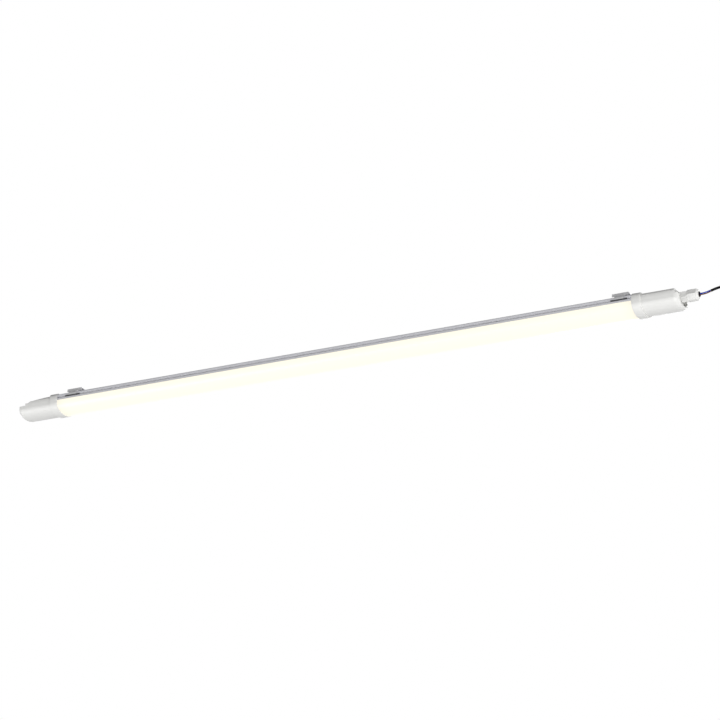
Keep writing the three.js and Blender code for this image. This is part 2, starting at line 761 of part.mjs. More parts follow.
function addLeadCap() {
  const endPlace = halfLength - leadEndShort;
  const outer = [
    alongX(shapeOf(fullOutline(collarProud)), collarInner, collarOuter),
    roundedEnd(1, fullOutline(-capInset, capRoofDrop), collarOuter - overrun, endPlace,
      leadEndRound, leadEndScale),
  ];
  const roof = roofHeight + 2 * collarProud;
  const side = capSideView(1, endPlace, leadSkirtRise, [
    [leadWallOuter, widestHeight + leadSkirtRise], [leadWallOuter, roof],
  ]);
  const insideOutline = fullOutline(-capInset - capWall, capRoofDrop);
  const inside = shapeOf(insideOutline);
  const beforeTrough = block([collarInner, -2 * halfWidth, widestHeight - 2 * bellyDepth],
    [leadWallOuter, 2 * halfWidth, roof]);
  const trough = carve([roundedEnd(1, insideOutline, leadWallInner - 2 * overrun, endPlace,
    leadEndRound, leadEndScale)], [beforeTrough]);
  const boss = rod(glandThreadRadius + glandBossWall, leadWallOuter - glandBossLength, leadWallOuter,
    32, glandHeight);
  const cuts = [
    alongX(shapeOf(fullOutline(fit)), collarInner - overrun, pocketEnd),
    carve([alongX(inside, pocketEnd - overrun, leadWallInner)], [boss]),
    trough,
    rod(glandThreadRadius + fit, leadWallOuter - glandBossLength - overrun, leadWallOuter + overrun,
      32, glandHeight),
    ...capScrewHoles(1),
  ];
  addPiece('lead_end_cap', trimCap(outer, side, cuts), 'cap');
}

function addBlindCap() {
  const outer = [
    alongX(shapeOf(fullOutline(collarProud)), -collarInner, -collarOuter),
    roundedEnd(-1, fullOutline(-capInset, capRoofDrop), collarOuter - overrun, halfLength,
      blindEndRound, blindEndScale),
  ];
  const roofStart = roofHeight - capRoofDrop - capInset;
  const roofLow = roofStart - blindRoofSlope;
  const ledge = roofLow - blindLedgeDrop;
  const roofEnd = halfLength - blindRoofShort;
  const ledgeEnd = halfLength - blindLedgeShort;
  const side = capSideView(-1, halfLength, blindSkirtRise, [
    [ledgeEnd, widestHeight + blindSkirtRise], [ledgeEnd, ledge], [roofEnd + blindRampLength, ledge],
    [roofEnd, roofLow], [collarOuter, roofStart], [collarOuter, roofHeight + 2 * collarProud],
  ]);
  const insideOutline = fullOutline(-capInset - capWall, capRoofDrop + blindRoofSlope);
  const inside = shapeOf(insideOutline);
  const underLedge = block([-halfLength - overrun, -2 * halfWidth, ledge - capWall],
    [-roofEnd + capWall, 2 * halfWidth, roofHeight + overrun]);
  const cavity = carve([alongX(inside, -pocketEnd + overrun, -ledgeEnd + endWallThickness)], [underLedge]);
  const cuts = [
    alongX(shapeOf(fullOutline(fit)), -collarInner + overrun, -pocketEnd),
    cavity,
    roundedEnd(-1, insideOutline, ledgeEnd, halfLength, blindEndRound, blindEndScale),
    ...capScrewHoles(-1),
  ];
  addPiece('blind_end_cap', trimCap(outer, side, cuts), 'cap');
}

function capScrewHoles(end) {
  const top = roofHeight + collarProud + overrun;
  return capScrewPlaces(end).map(([x, y]) => alongZ(
    circleShape(screwHoleRadius, 12), roofHeight - overrun, top).translate(x, y, 0));
}

function trimCap(outer, side, cuts) {
  let solid = outer.map(solidOf).reduce((whole, next) => whole.add(next));
  solid = solid.intersect(solidOf(side));
  for (const cut of cuts) solid = solid.subtract(solidOf(cut));
  return geometryOf(solid);
}

// Gasket ring between a housing end and the shoulder in its cap, and the cap's two screws.
function addCapSeals() {
  for (const [name, end] of [['blind', -1], ['lead', 1]]) {
    const outline = shapeOf(fullOutline(0), [fullOutline(-gasketWall)]);
    const from = end * gasketStart;
    addPiece(`${name}_cap_gasket`, alongX(outline, from, from + end * gasketThickness), 'rubber');
    capScrewPlaces(end).forEach(([x, y], n) => {
      const seat = roofHeight + collarProud + fit;
      addPiece(`${name}_cap_screw_${n + 1}`, screw(x, y, seat, capScrewLength), 'steel');
    });
  }
}

// Cable gland: its body is screwed into the lead cap's end wall, and its domed nut is outside.
function addGland() {
  const threadEnd = leadWallOuter - glandThreadLength;
  const stubEnd = glandHexEnd + glandStubLength;
  addPiece('gland_body', carve([
    rod(glandThreadRadius, threadEnd, glandHexStart + overrun, 32, glandHeight),
    hexBar(glandHexAcross, hexTurn, glandHexStart, glandHexEnd, glandHeight),
    rod(glandStubRadius, glandHexEnd - overrun, stubEnd, 32, glandHeight),
  ], [
    rod(glandBoreRadius, threadEnd - overrun, glandHexEnd, 24, glandHeight),
    rod(glandStubBoreRadius, glandHexEnd - overrun, stubEnd + overrun, 24, glandHeight),
  ]), 'cap');
  addPiece('gland_washer', ring(glandThreadRadius + fit, washerRadius, washerStart,
    washerStart + washerThickness, 32, glandHeight), 'rubber');

  const corner = nutAcross / 2 / Math.cos(Math.PI / 6);
  const domeStart = nutEnd - nutDomeLength;
  const dome = turned([
    [0, nutStart], [corner - 2 * fit, nutStart], [corner + fit, nutStart + 2 * fit],
    [corner + fit, domeStart],
    [corner - nutDomeLength / 4, domeStart + nutDomeLength / 3],
    [nutFaceRadius + nutDomeLength / 3, nutEnd - nutDomeLength / 5], [nutFaceRadius, nutEnd], [0, nutEnd],
  ], 36, glandHeight);
  const nutBore = turned([
    [0, nutStart - overrun], [glandStubRadius + fit, nutStart - overrun],
    [glandStubRadius + fit, nutStart + nutSkirtLength],
    [clawRadius + 2 * fit, nutEnd - nutLipLength - 2 * fit],
    [nutMouthRadius, nutEnd - nutLipLength], [nutMouthRadius, nutEnd + overrun], [0, nutEnd + overrun],
  ], 32, glandHeight);
  const shaped = solidOf(hexBar(nutAcross, nutTurn, nutStart, nutEnd, glandHeight)).intersect(solidOf(dome));
  addPiece('gland_nut', geometryOf(shaped.subtract(solidOf(nutBore))), 'cap');

  const clawEnd = nutEnd - nutLipLength - 3 * fit;
  const clawStart = clawEnd - clawLength;
  const slots = [];
  for (let k = 0; k < clawSlots / 2; k += 1) {
    const slot = block([clawEnd - clawSlotLength, -clawRadius - overrun, -clawSlotWidth / 2],
      [clawEnd + overrun, clawRadius + overrun, clawSlotWidth / 2]);
    slots.push(slot.rotateX(2 * Math.PI * k / clawSlots).translate(0, 0, glandHeight));
  }
  const clawInner = clawRadius - clawWall;
  const sleeve = ring(clawInner, clawRadius, clawStart, clawEnd, 24, glandHeight);
  addPiece('gland_claw', carve([sleeve], slots), 'cap');

  const noseStart = nutEnd - nutLipLength - 3 * fit;
  const sealShape = turned([
    [0, clawStart + sealInset], [sealRadius, clawStart + sealInset], [sealRadius, noseStart],
    [sealNoseRadius, noseStart], [sealNoseRadius, sealEnd], [0, sealEnd],
  ], 24, glandHeight);
  const coreHoles = [-1, 1].map((side) => rod(coreRadius + fit / 2, clawStart - overrun,
    sealEnd + overrun, 12, glandHeight + side * coreSpread));
  addPiece('gland_seal', carve([sealShape], coreHoles), 'rubber');
}

// Saddle of spring steel: a waisted base against the cabinet, two webs, two narrow tongues that
// follow the housing's shoulders, and two lips as long as the saddle that hook into its grooves.
function addClip(name, x) {
  const grooveRise = roofRise - grooveBelowRoof - grooveHeight / 2;
  const grooveMiddle = widestHeight + grooveRise;
  const hookTip = sideHalfWidth(grooveRise) - grooveDepth + fit;
  const kneeY = sideHalfWidth(roofRise - roofCornerRadius) - roofCornerRadius;
  const kneeZ = roofHeight - roofCornerRadius;
  const kneeInner = roofCornerRadius + fit;
  const kneeOuter = kneeInner + clipSheet;
  const webOuter = clipHalfWidth;
  const webInner = clipHalfWidth - clipSheet;
  const webLow = -clipWebHeight;
  const hookHalf = clipSheet / 2;
  const lipLow = grooveMiddle - clipLipHeight / 2;
  const knee = (radius, degrees) => {
    const angle = THREE.MathUtils.degToRad(degrees);
    return [kneeY + radius * Math.cos(angle), kneeZ + radius * Math.sin(angle)];
  };
  const half = [
    [webOuter - clipBend, 0], [webOuter - clipBend / 3, -clipBend / 3], [webOuter, -clipBend],
    [webOuter + clipWebFlare / 2, webLow / 2], [webOuter + clipWebFlare, webLow],
    ...[60, 40, 20, 0].map((degrees) => knee(kneeOuter, degrees)),
    [kneeY + kneeOuter, lipLow], [kneeY + kneeInner, lipLow],
    [kneeY + kneeInner, grooveMiddle - hookHalf], [hookTip, grooveMiddle - hookHalf],
    [hookTip, grooveMiddle + hookHalf], [kneeY + kneeInner, grooveMiddle + hookHalf],
    ...[0, 20, 40, 60, 75].map((degrees) => knee(kneeInner, degrees)),
    [webInner + clipWebFlare, webLow - clipSheet], [webInner + clipWebFlare / 2, webLow / 2],
    [webInner, -clipBend], [webInner - clipBend / 2, -clipSheet],
  ];
  const end = clipLength / 2;
  const section = alongX(shapeOf(mirrorAcross(half)), x - end, x + end);
  const slot = alongZ(shapeOf(slotOutline(clipSlotLength, clipSlotWidth)), -clipSheet - overrun, overrun)
    .translate(x, 0, 0);
  const besideTongues = [-1, 1].flatMap((along) => [-1, 1].map((side) => {
    const from = x + along * clipTongueWidth / 2;
    const to = x + along * (end + overrun);
    const ys = [side * (webInner - overrun), side * (kneeY + kneeOuter + overrun)];
    return block([Math.min(from, to), Math.min(...ys), kneeZ],
      [Math.max(from, to), Math.max(...ys), webLow - clipBend / 4]);
  }));
  const waists = [-1, 1].map((along) => {
    const outline = [
      [end + overrun, -webInner], [end, -webInner], [end - clipWaist, -webInner / 3],
      [end - clipWaist, webInner / 3], [end, webInner], [end + overrun, webInner],
    ].map(([a, b]) => [x + along * a, b]);
    return alongZ(shapeOf(outline), -clipBend, overrun);
  });
  addPiece(name, carve([section], [slot, ...besideTongues, ...waists]), 'steel');
}

// A slot with round ends, along X about the middle.
function slotOutline(length, width) {
  const points = [];
  const arcSteps = 6;
  for (const end of [1, -1]) {
    for (let k = 0; k <= arcSteps; k += 1) {
      const angle = Math.PI * (k / arcSteps - 1 / 2) + (end < 0 ? Math.PI : 0);
      points.push([end * (length - width) / 2 + width / 2 * Math.cos(angle), width / 2 * Math.sin(angle)]);
    }
  }
  return points;
}

// Cores of the lead, from the terminal block through the gland to the sheath's mouth.
function addFeedCores() {
  const [, terminalEnd] = terminalPlace();
  const entry = terminalEntryHeight();
  const mouth = new THREE.Vector3(...leadRoute[0]);
  const way = new THREE.Vector3(...leadRoute[1]).sub(mouth).normalize();
  const coreEnd = mouth.clone().addScaledVector(way, -2 * fit);
  const glandIn = leadWallOuter - glandBossLength;
  for (const [colour, side, pole] of [['blue', 1, -1], ['brown', -1, 1]]) {
    const y = pole * terminalPoleSpacing / 2;
    const through = glandHeight + side * coreSpread;
    const points = [
      [terminalEnd - terminalEntryDepth + fit, y, entry], [terminalEnd + 2 * coreRadius, y, entry],
      [glandIn, 0, through], [leadWallOuter, 0, through], [nutStart, 0, through],
      [(nutStart + nutEnd) / 2, 0, through], [nutEnd, 0, through],
      [sealEnd + fit, 0, through],
      [(sealEnd + mouth.x) / 2, -side * coreRadius / 2, through + (mouth.z - glandHeight) / 5],
      [coreEnd.x - side * coreSpread * way.z, 0, coreEnd.z + side * coreSpread * way.x],
    ];
    addPiece(`feed_core_${colour}`, wire(points, coreRadius, coreSides, 44), colour);
  }
}

// Middle line of the coil: in for half its turns, over a layer, and out again.
function coilPoint(turn) {
  const inward = Math.min(turn, coilTurns - turn);
  const radius = coilOuterRadius - coilPitch * inward;
  const climb = THREE.MathUtils.smoothstep(turn, coilTurns / 2 - 1 / 4, coilTurns / 2 + 1 / 4);
  const angle = -2 * Math.PI * turn;
  return new THREE.Vector3(
    coilCentre.x + radius * Math.cos(angle),
    coilCentre.y + coilPitch * (climb - 1 / 2),
    coilCentre.z + radius * Math.sin(angle));
}

// A tube through exact points, with its rings square to the way through them.
function tubeThrough(points, radius, sides) {
  const positions = [];
  const corners = [];
  const across = new THREE.Vector3(0, 1, 0);
  points.forEach((point, n) => {
    const before = points[Math.max(n - 1, 0)];
    const after = points[Math.min(n + 1, points.length - 1)];
    const way = after.clone().sub(before).normalize();
    const out = new THREE.Vector3().crossVectors(way, across).normalize();
    const up = new THREE.Vector3().crossVectors(out, way);
    for (let k = 0; k < sides; k += 1) {
      const angle = 2 * Math.PI * k / sides;
      const corner = point.clone().addScaledVector(out, radius * Math.cos(angle));
      positions.push(corner.addScaledVector(up, radius * Math.sin(angle)));
    }
  });
  const rings = points.length;
  for (let n = 0; n + 1 < rings; n += 1) {
    for (let k = 0; k < sides; k += 1) {
      const a = n * sides + k;
      const b = n * sides + (k + 1) % sides;
      corners.push(a, b + sides, b, a, a + sides, b + sides);
    }
  }
  for (let k = 1; k + 1 < sides; k += 1) {
    const last = (rings - 1) * sides;
    corners.push(0, k, k + 1, last, last + k + 1, last + k);
  }
  const geometry = new THREE.BufferGeometry().setFromPoints(positions);
  geometry.setIndex(corners);
  return geometry;
}

// Least gap between turns of the coil, measured on the rings' own corners.
function leastGap(geometry, sides, stepsApart) {
  const position = geometry.attributes.position;
  const a = new THREE.Vector3();
  const b = new THREE.Vector3();
  let least = Infinity;
  for (let i = 0; i < position.count; i += 1) {
    a.fromBufferAttribute(position, i);
    for (let j = i + stepsApart * sides; j < position.count; j += 1) {
      b.fromBufferAttribute(position, j);
      least = Math.min(least, a.distanceTo(b));
    }
  }
  return least;
}

// The lead's free stretch, its coil with two ties, and its bare cores with ferrules.
function addLead() {
  addPiece('cord_stretch', wire(leadRoute, sheathRadius, sheathSides, 18), 'black');

  const straight = 2 * sheathRadius;
  const first = coilPoint(0);
  const last = coilPoint(coilTurns);
  const points = [first.clone().add(new THREE.Vector3(0, 0, straight))];
  for (let n = 0; n <= coilTurns * coilStepsPerTurn; n += 1) points.push(coilPoint(n / coilStepsPerTurn));
  points.push(last.clone().add(new THREE.Vector3(0, 0, -straight)));
  const coil = tubeThrough(points, sheathRadius, coilSides);
  const gap = leastGap(coil, coilSides, coilStepsPerTurn / 2);
  console.log(`least gap between the coil's turns: ${gap.toFixed(2)} mm`);
  addPiece('cord_coil', coil, 'black');

  const middleRadius = coilOuterRadius - coilPitch * coilTurns / 4;
  const bundleHalf = coilPitch + sheathRadius + tieGap;
  const layersHalf = coilPitch / 2 + sheathRadius + tieGap;
  for (const [place, side] of [['top', 1], ['bottom', -1]]) {
    const z = coilCentre.z + side * middleRadius;
    const outline = (grow) => [
      [-layersHalf - grow, z - bundleHalf - grow], [layersHalf + grow, z - bundleHalf - grow],
      [layersHalf + grow, z + bundleHalf + grow], [-layersHalf - grow, z + bundleHalf + grow],
    ];
    addPiece(`coil_tie_${place}`, alongX(shapeOf(outline(tieWall), [outline(0)]),
      coilCentre.x - tieWidth / 2, coilCentre.x + tieWidth / 2), 'black');
  }

  const tailTop = last.z - straight - fit;
  for (const [colour, side] of [['blue', 1], ['brown', -1]]) {
    const x = last.x + side * (coreRadius + fit / 2);
    const endX = last.x + side * tailSplay;
    const low = tailTop - tailLength;
    const tail = [[x, last.y, tailTop], [x, last.y, tailTop - straight / 2],
      [endX, last.y, (tailTop + low) / 2], [endX, last.y, low]];
    addPiece(`tail_core_${colour}`, wire(tail, coreRadius, coreSides, 10), colour);
    const ferrule = alongZ(circleShape(ferruleRadius, 10), low - fit - ferruleLength, low - fit);
    addPiece(`ferrule_${colour}`, ferrule.translate(endX, last.y, 0), 'tin');
  }
}

addHousing();
addDiffuser();
addTray();
addBoards();
addDriver();
addTerminal();
addInnerWires();
addLeadCap();
addBlindCap();
addCapSeals();
addGland();
addClip('blind_end_clip', -(collarInner - blindClipFromCollar));
addClip('lead_end_clip', collarInner - leadClipFromCollar);
addFeedCores();
addLead();

export default light;
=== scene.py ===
"""Looks of a slim damp-proof light that hangs under a cabinet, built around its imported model.

Metres. +X runs along the light to its lead, -Y is the near side and +Z is up. The origin is in the
cabinet's underside, half way between the end caps. Rises are measured up from the widest line.
"""

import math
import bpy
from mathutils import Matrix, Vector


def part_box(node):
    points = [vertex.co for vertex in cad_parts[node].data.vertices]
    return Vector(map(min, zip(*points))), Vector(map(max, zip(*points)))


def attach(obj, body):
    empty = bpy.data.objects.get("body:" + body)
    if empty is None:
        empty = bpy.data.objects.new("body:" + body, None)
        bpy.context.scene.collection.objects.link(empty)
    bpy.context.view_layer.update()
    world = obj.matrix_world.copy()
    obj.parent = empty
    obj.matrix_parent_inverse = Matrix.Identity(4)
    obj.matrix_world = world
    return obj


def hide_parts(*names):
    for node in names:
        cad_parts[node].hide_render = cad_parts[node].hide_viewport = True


bl_info = {
    "name": "Under-cabinet light",
    "version": (1, 0, 0),
    "blender": (4, 5, 0),
    "location": "3D View > Sidebar > Light",
    "description": "Builds the visible pieces of a slim damp-proof light around its packed model",
    "category": "Object",
}

import bmesh
import bpy
from bpy.props import FloatProperty, FloatVectorProperty, IntProperty, PointerProperty
from mathutils import Matrix, Vector

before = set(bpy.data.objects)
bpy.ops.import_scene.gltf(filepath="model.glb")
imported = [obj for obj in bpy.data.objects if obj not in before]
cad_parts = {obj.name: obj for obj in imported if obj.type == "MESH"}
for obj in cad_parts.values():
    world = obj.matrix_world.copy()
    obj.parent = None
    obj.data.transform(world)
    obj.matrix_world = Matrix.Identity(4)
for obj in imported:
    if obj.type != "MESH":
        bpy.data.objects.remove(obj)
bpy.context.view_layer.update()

ROOT_BODY = "light"
MERGE_DISTANCE = 1e-6
# How far a cutting piece runs past what it cuts.
OVERRUN = 0.002

# Steps of the belly's arc and of a full turn: a large one, a small one and a hole.
FINE_STEPS = 96
ROUND_STEPS = 64
SMALL_STEPS = 32
HOLE_STEPS = 24
# Steps of a quarter round: a moulded corner, one cut in sheet, a collar's edge and a small edge.
CORNER_STEPS = 10
SHEET_STEPS = 6
COLLAR_STEPS = 4
EDGE_STEPS = 3
# Steps between a cord's points, and of a quarter of its round.
CORD_STEPS = 6
# Points up each side of the outline.
SIDE_POINTS = 4

# Radius of each piece's finest edges.
TIE_EDGE = 0.0002
HOUSING_EDGE = 0.00015
CLIP_EDGE = 0.00012
NUT_EDGE = 0.00012
GLAND_EDGE = 0.0001
SCREW_EDGE = 0.00008
HEXAGON_ROUND = 0.0004


def metres(name, default, description):
    """A length that a user may change."""
    return FloatProperty(
        name=name, description=description, default=default, min=0.0, precision=4,
        subtype="DISTANCE", unit="LENGTH",
    )


def degrees(name, default, description):
    """An angle that a user may change."""
    return FloatProperty(
        name=name, description=description, default=math.radians(default), subtype="ANGLE",
        unit="ROTATION",
    )


def watts(name, default, description):
    """A lamp's power that a user may change."""
    return FloatProperty(name=name, description=description, default=default, min=0.0, unit="POWER")


def share(name, default, description):
    """A size as a share of another, which a user may change."""
    return FloatProperty(
        name=name, description=description, default=default, min=0.1, max=1.0, subtype="FACTOR",
    )


def tint(name, default, description):
    """A colour that a user may change."""
    return FloatVectorProperty(
        name=name, description=description, default=default, min=0.0, max=1.0, size=3,
        subtype="COLOR",
    )


class SectionSizes(bpy.types.PropertyGroup):
    """The section that the housing, the diffuser and both caps share."""

    half_width: metres("Half width", 0.026, "Half of the light's width at its widest line")
    belly_depth: metres("Belly depth", 0.0143, "Depth of the belly below the widest line")
    shoulder_rise: metres("Shoulder rise", 0.0049, "Rise of the joint of diffuser and housing")
    roof_rise: metres("Roof rise", 0.0164, "Rise of the flat roof above the widest line")
    roof_inset: metres("Roof inset", 0.001, "How far each side leans in up to the roof")
    roof_corner: metres("Roof corner", 0.006, "Radius of the corners between sides and roof")
    least_corner: metres("Least corner", 0.0005, "Radius that no inner roof corner goes below")
    hang: metres("Hang", 0.0235, "Drop of the widest line below the cabinet")
    fit: metres("Fit", 0.0003, "Gap between pieces that slide or push together")


class BodySizes(bpy.types.PropertyGroup):
    """Walls and joint of the housing and the diffuser."""

    wall: metres("Wall", 0.0018, "Wall of the housing's roof and of the diffuser")
    lip_wall: metres("Lip wall", 0.0012, "Wall of the diffuser's lips")
    lip_height: metres("Lip height", 0.0022, "How far the diffuser's lips stand in their slots")
    lip_foot: metres("Lip foot", 0.002, "Depth of the foot under each lip")
    outer_leg: metres("Outer leg", 0.0012, "Wall of the housing outside each slot")
    inner_leg: metres("Inner leg", 0.0014, "Wall of the housing inside each slot")
    ledge_depth: metres("Ledge depth", 0.0027, "Depth of the ledges that hold the tray")
    ledge_thickness: metres("Ledge thickness", 0.0015, "Thickness of the ledges")
    groove_height: metres("Groove height", 0.002, "Height of the clip grooves")
    groove_depth: metres("Groove depth", 0.0016, "Depth of the clip grooves")
    groove_drop: metres("Groove drop", 0.0062, "Drop of the clip grooves below the roof")


class CapSizes(bpy.types.PropertyGroup):
    """Collars, bodies and open ends of the two caps."""

    collar_length: metres("Collar length", 0.015, "Length of a collar")
    collar_proud: metres("Collar proud", 0.0013, "How far a collar stands out")
    collar_edge: metres("Collar edge", 0.0009, "Radius of a collar's edges")
    inset: metres("Inset", 0.0006, "How far a cap's body stands in")
    wall: metres("Wall", 0.0022, "Wall of a cap")
    pocket: metres("Pocket", 0.0133, "Depth of the pocket that takes the housing")
    end_wall: metres("End wall", 0.0025, "Wall that carries the gland")
    roof_drop: metres("Roof drop", 0.0008, "Drop of a cap's roof below the housing's")
    lead_skirt: metres("Lead skirt", 0.0073, "Rise of the skirt past the lead cap's end wall")
    blind_skirt: metres("Blind skirt", 0.0047, "Rise of the skirt past the blind cap's ledge")
    lead_end_short: metres("Lead end short", 0.002, "Lead cap's end to the light's end")
    lead_round: metres("Lead round", 0.009, "Length of the round at the lead cap's end")
    lead_end_scale: share("Lead end scale", 0.70, "Size of the lead cap's outline at its end")
    blind_round: metres("Blind round", 0.0065, "Length of the round at the blind cap's end")
    blind_end_scale: share("Blind end scale", 0.76, "Size of the blind cap's outline at its end")
    skirt_corner: metres("Skirt corner", 0.0025, "Radius of a skirt's upper corner")
    lead_roof_short: metres("Lead roof short", 0.0084, "Lead cap's roof to the light's end")
    blind_roof_short: metres("Blind roof short", 0.0235, "Blind cap's roof to the light's end")
    blind_slope: metres("Blind slope", 0.0042, "Fall of the blind cap's roof")
    blind_ramp: metres("Blind ramp", 0.004, "Length of the ramp behind the blind cap's roof")
    blind_ledge_short: metres("Blind ledge short", 0.014, "Blind cap's ledge to the light's end")
    blind_ledge_drop: metres("Blind ledge drop", 0.0023, "Fall of the ramp to the ledge")
    screw_hole: metres("Screw hole", 0.0017, "Radius of the screw holes in a collar")
    edge: metres("Edge", 0.0003, "Radius of a cap's moulded edges")


class GlandSizes(bpy.types.PropertyGroup):
    """The cable gland in the lead cap."""

    thread: metres("Thread", 0.0059, "Radius of the gland's thread")
    thread_pitch: metres("Thread pitch", 0.0015, "Distance between the thread's ridges")
    boss: metres("Boss", 0.008, "Length of the cap's threaded boss")
    boss_wall: metres("Boss wall", 0.002, "Wall of the cap's threaded boss")
    hexagon: metres("Hexagon", 0.017, "Width of the fixed hexagon across its flats")
    bore: metres("Bore", 0.0044, "Radius of the bore through the body")
    stub: metres("Stub", 0.0069, "Radius of the threaded stub under the nut")
    stub_bore: metres("Stub bore", 0.0057, "Radius of the bore in the stub")
    stub_length: metres("Stub length", 0.010, "Length of the stub")
    nut: metres("Nut", 0.0174, "Width of the nut across its flats")
    skirt: metres("Skirt", 0.011, "Depth of the nut's thread")
    dome: metres("Dome", 0.004, "Length of the nut's dome")
    mouth: metres("Mouth", 0.0042, "Radius of the nut's mouth")
    face: metres("Face", 0.006, "Radius of the nut's flat face")
    lip: metres("Lip", 0.0022, "Thickness of the nut's front wall")
    claw: metres("Claw", 0.0053, "Radius of the clamping claw")
    seal: metres("Seal", 0.0043, "Radius of the rubber seal")
    seal_nose: metres("Seal nose", 0.0038, "Radius of the seal where it shows")
    hexagon_turn: degrees("Hexagon turn", 22, "Turn of the fixed hexagon's near corner")
    nut_turn: degrees("Nut turn", 2, "Turn of the nut's near corner")


class ClipSizes(bpy.types.PropertyGroup):
    """The two spring steel saddles."""

    half_width: metres("Half width", 0.0195, "Half of the saddle's width at its base")
    sheet: metres("Sheet", 0.001, "Thickness of the steel")
    web: metres("Web", 0.0057, "Height of the webs under the base")
    flare: metres("Flare", 0.0008, "How far the webs lean out")
    waist: metres("Waist", 0.0015, "How far the base is cut in at both ends")
    lip: metres("Lip", 0.0022, "Height of the lips")
    tongue: metres("Tongue", 0.016, "Width of the tongues")
    slot_length: metres("Slot length", 0.012, "Length of the screw slot")
    slot_width: metres("Slot width", 0.005, "Width of the screw slot")
    bend: metres("Bend", 0.0015, "Radius of the bend between base and web")


class LeadSizes(bpy.types.PropertyGroup):
    """The lead, its cores and its coil."""

    sheath: metres("Sheath", 0.002, "Radius of the lead's sheath")
    core: metres("Core", 0.0009, "Radius of a core")
    core_spread: metres("Core spread", 0.00092, "Distance of a core from the lead's middle")
    coil_pitch: metres("Coil pitch", 0.0049, "Distance from turn to turn")
    coil_radius: metres("Coil radius", 0.0281, "Radius of the coil's outer turn")
    tie_wall: metres("Tie wall", 0.0012, "Thickness of the coil's ties")
    tail: metres("Tail", 0.026, "Length of the bare cores at the lead's end")
    tail_splay: metres("Tail splay", 0.0032, "How far the bare cores spread")
    coil_turns: IntProperty(name="Coil turns", description="Turns in the coil", default=5, min=1)
    coil_steps: IntProperty(
        name="Coil steps", description="Points in each turn", default=24, min=12)


class FinishColours(bpy.types.PropertyGroup):
    """Colours of the finishes that show."""

    housing: tint("Housing", (0.60, 0.60, 0.63), "Grey back")
    opal: tint("Opal", (0.20, 0.20, 0.195), "Unlit diffuser")
    glow: tint("Glow", (0.90, 0.86, 0.70), "Light that the diffuser's middle gives")
    glow_end: tint("Glow at the ends", (0.78, 0.73, 0.61), "Light that its ends give")
    cap: tint("Caps", (0.80, 0.80, 0.78), "Pale plastic of caps and gland")
    steel: tint("Steel", (0.80, 0.80, 0.81), "Spring steel")
    # Painted shade: a near-black tint for the clips' lips and inner faces, where they lie in shade.
    clip_shade: tint("Dark steel", (0.10, 0.10, 0.11), "Hardened lips of the clips")
    rubber: tint("Rubber", (0.012, 0.012, 0.014), "Seals and gaskets")
    sheath: tint("Sheath", (0.002, 0.002, 0.003), "Sheath of the lead")
    blue: tint("Blue core", (0.0, 0.04, 0.42), "Neutral core")
    brown: tint("Brown core", (0.12, 0.038, 0.022), "Live core")


class StudioSettings(bpy.types.PropertyGroup):
    """Camera, floor and lights."""

    turn: degrees("Turn", 26.662, "Camera's turn from square to the light")
    tilt: degrees("Tilt", 19.949, "Camera's tilt up to the light")
    distance: metres("Distance", 5.0625, "Camera to the light's middle")
    aside: metres("Aside", 0.0345, "How far the camera stands to the right")
    lens: FloatProperty(
        name="Lens", description="Focal length in millimetres", default=155.04, min=1.0)
    floor_drop: metres("Floor drop", 6.5, "Drop of the floor below the cabinet")
    floor_size: metres("Floor size", 60.0, "Width of the floor")
    near_power: watts("Near lamp", 92.0, "Power of the lamp below the near side")
    left_power: watts("Left lamp", 56.0, "Power of the lamp below the left side")
    right_power: watts("Right lamp", 52.0, "Power of the lamp level with the lead's end")
    behind_power: watts("Lamp behind", 60.0, "Power of the lamp behind")
    lamp_drop: degrees("Lamp drop", 40, "How far the low lamps stand below the level")
    behind_rise: degrees("Rise behind", 20, "Rise of the lamp behind")
    lamp_distance: metres("Lamp distance", 4.0, "Distance of the lamps")
    lamp_size: metres("Lamp size", 2.4, "Width of the lamps")


GROUPS = {
    "light_section": SectionSizes,
    "light_body": BodySizes,
    "light_caps": CapSizes,
    "light_gland": GlandSizes,
    "light_clips": ClipSizes,
    "light_lead": LeadSizes,
    "light_colours": FinishColours,
    "light_studio": StudioSettings,
}

# Route of the lead from its sheath's mouth to the coil, from the middle of the seal's nose.
ROUTE_FROM_SEAL = (
    (0.0179, 0.0, 0.0026), (0.0247, 0.0, 0.0044), (0.0314, 0.0, 0.0056), (0.0412, 0.0, 0.0067),
    (0.0522, 0.0, 0.0071), (0.0632, 0.0, 0.006), (0.0732, -0.0002, 0.0033),
    (0.0827, -0.0006, -0.0014), (0.0907, -0.0012, -0.008), (0.0969, -0.0018, -0.0162),
    (0.1009, -0.0022, -0.0254), (0.1031, -0.0024, -0.0347), (0.1037, -0.00245, -0.0442),
)


def low_corner(node):
    """Lowest corner of a CAD node."""
    return Vector(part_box(node)[0])


def high_corner(node):
    """Highest corner of a CAD node."""
    return Vector(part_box(node)[1])


def node_middle(node):
    """Middle of a CAD node's box."""
    return (low_corner(node) + high_corner(node)) / 2


def node_ends(node):
    """Where a CAD node starts and ends along X."""
    return low_corner(node).x, high_corner(node).x


# Section and outlines.

def side_width(rise):
    """Half width of the light's side at a rise above the widest line."""
    section = bpy.context.scene.light_section
    return section.half_width - section.roof_inset * (rise / section.roof_rise) ** 2


def roof_height(drop=0.0):
    """Height of the roof, dropped by a distance."""
    section = bpy.context.scene.light_section
    return section.roof_rise - section.hang - drop


def chain(bm, start, points):
    """Edges from a vertex through a list of points; returns the new vertices."""
    made = []
    for point in points:
        vertex = bm.verts.new(point)
        bm.edges.new((start, vertex))
        made.append(vertex)
        start = vertex
    return made


def arc_points(across, up, radius, angles):
    """Points of an arc about a centre, at angles in degrees that start level with it."""
    turns = [math.radians(angle) for angle in angles]
    return [(across + radius * math.cos(t), up + radius * math.sin(t)) for t in turns]


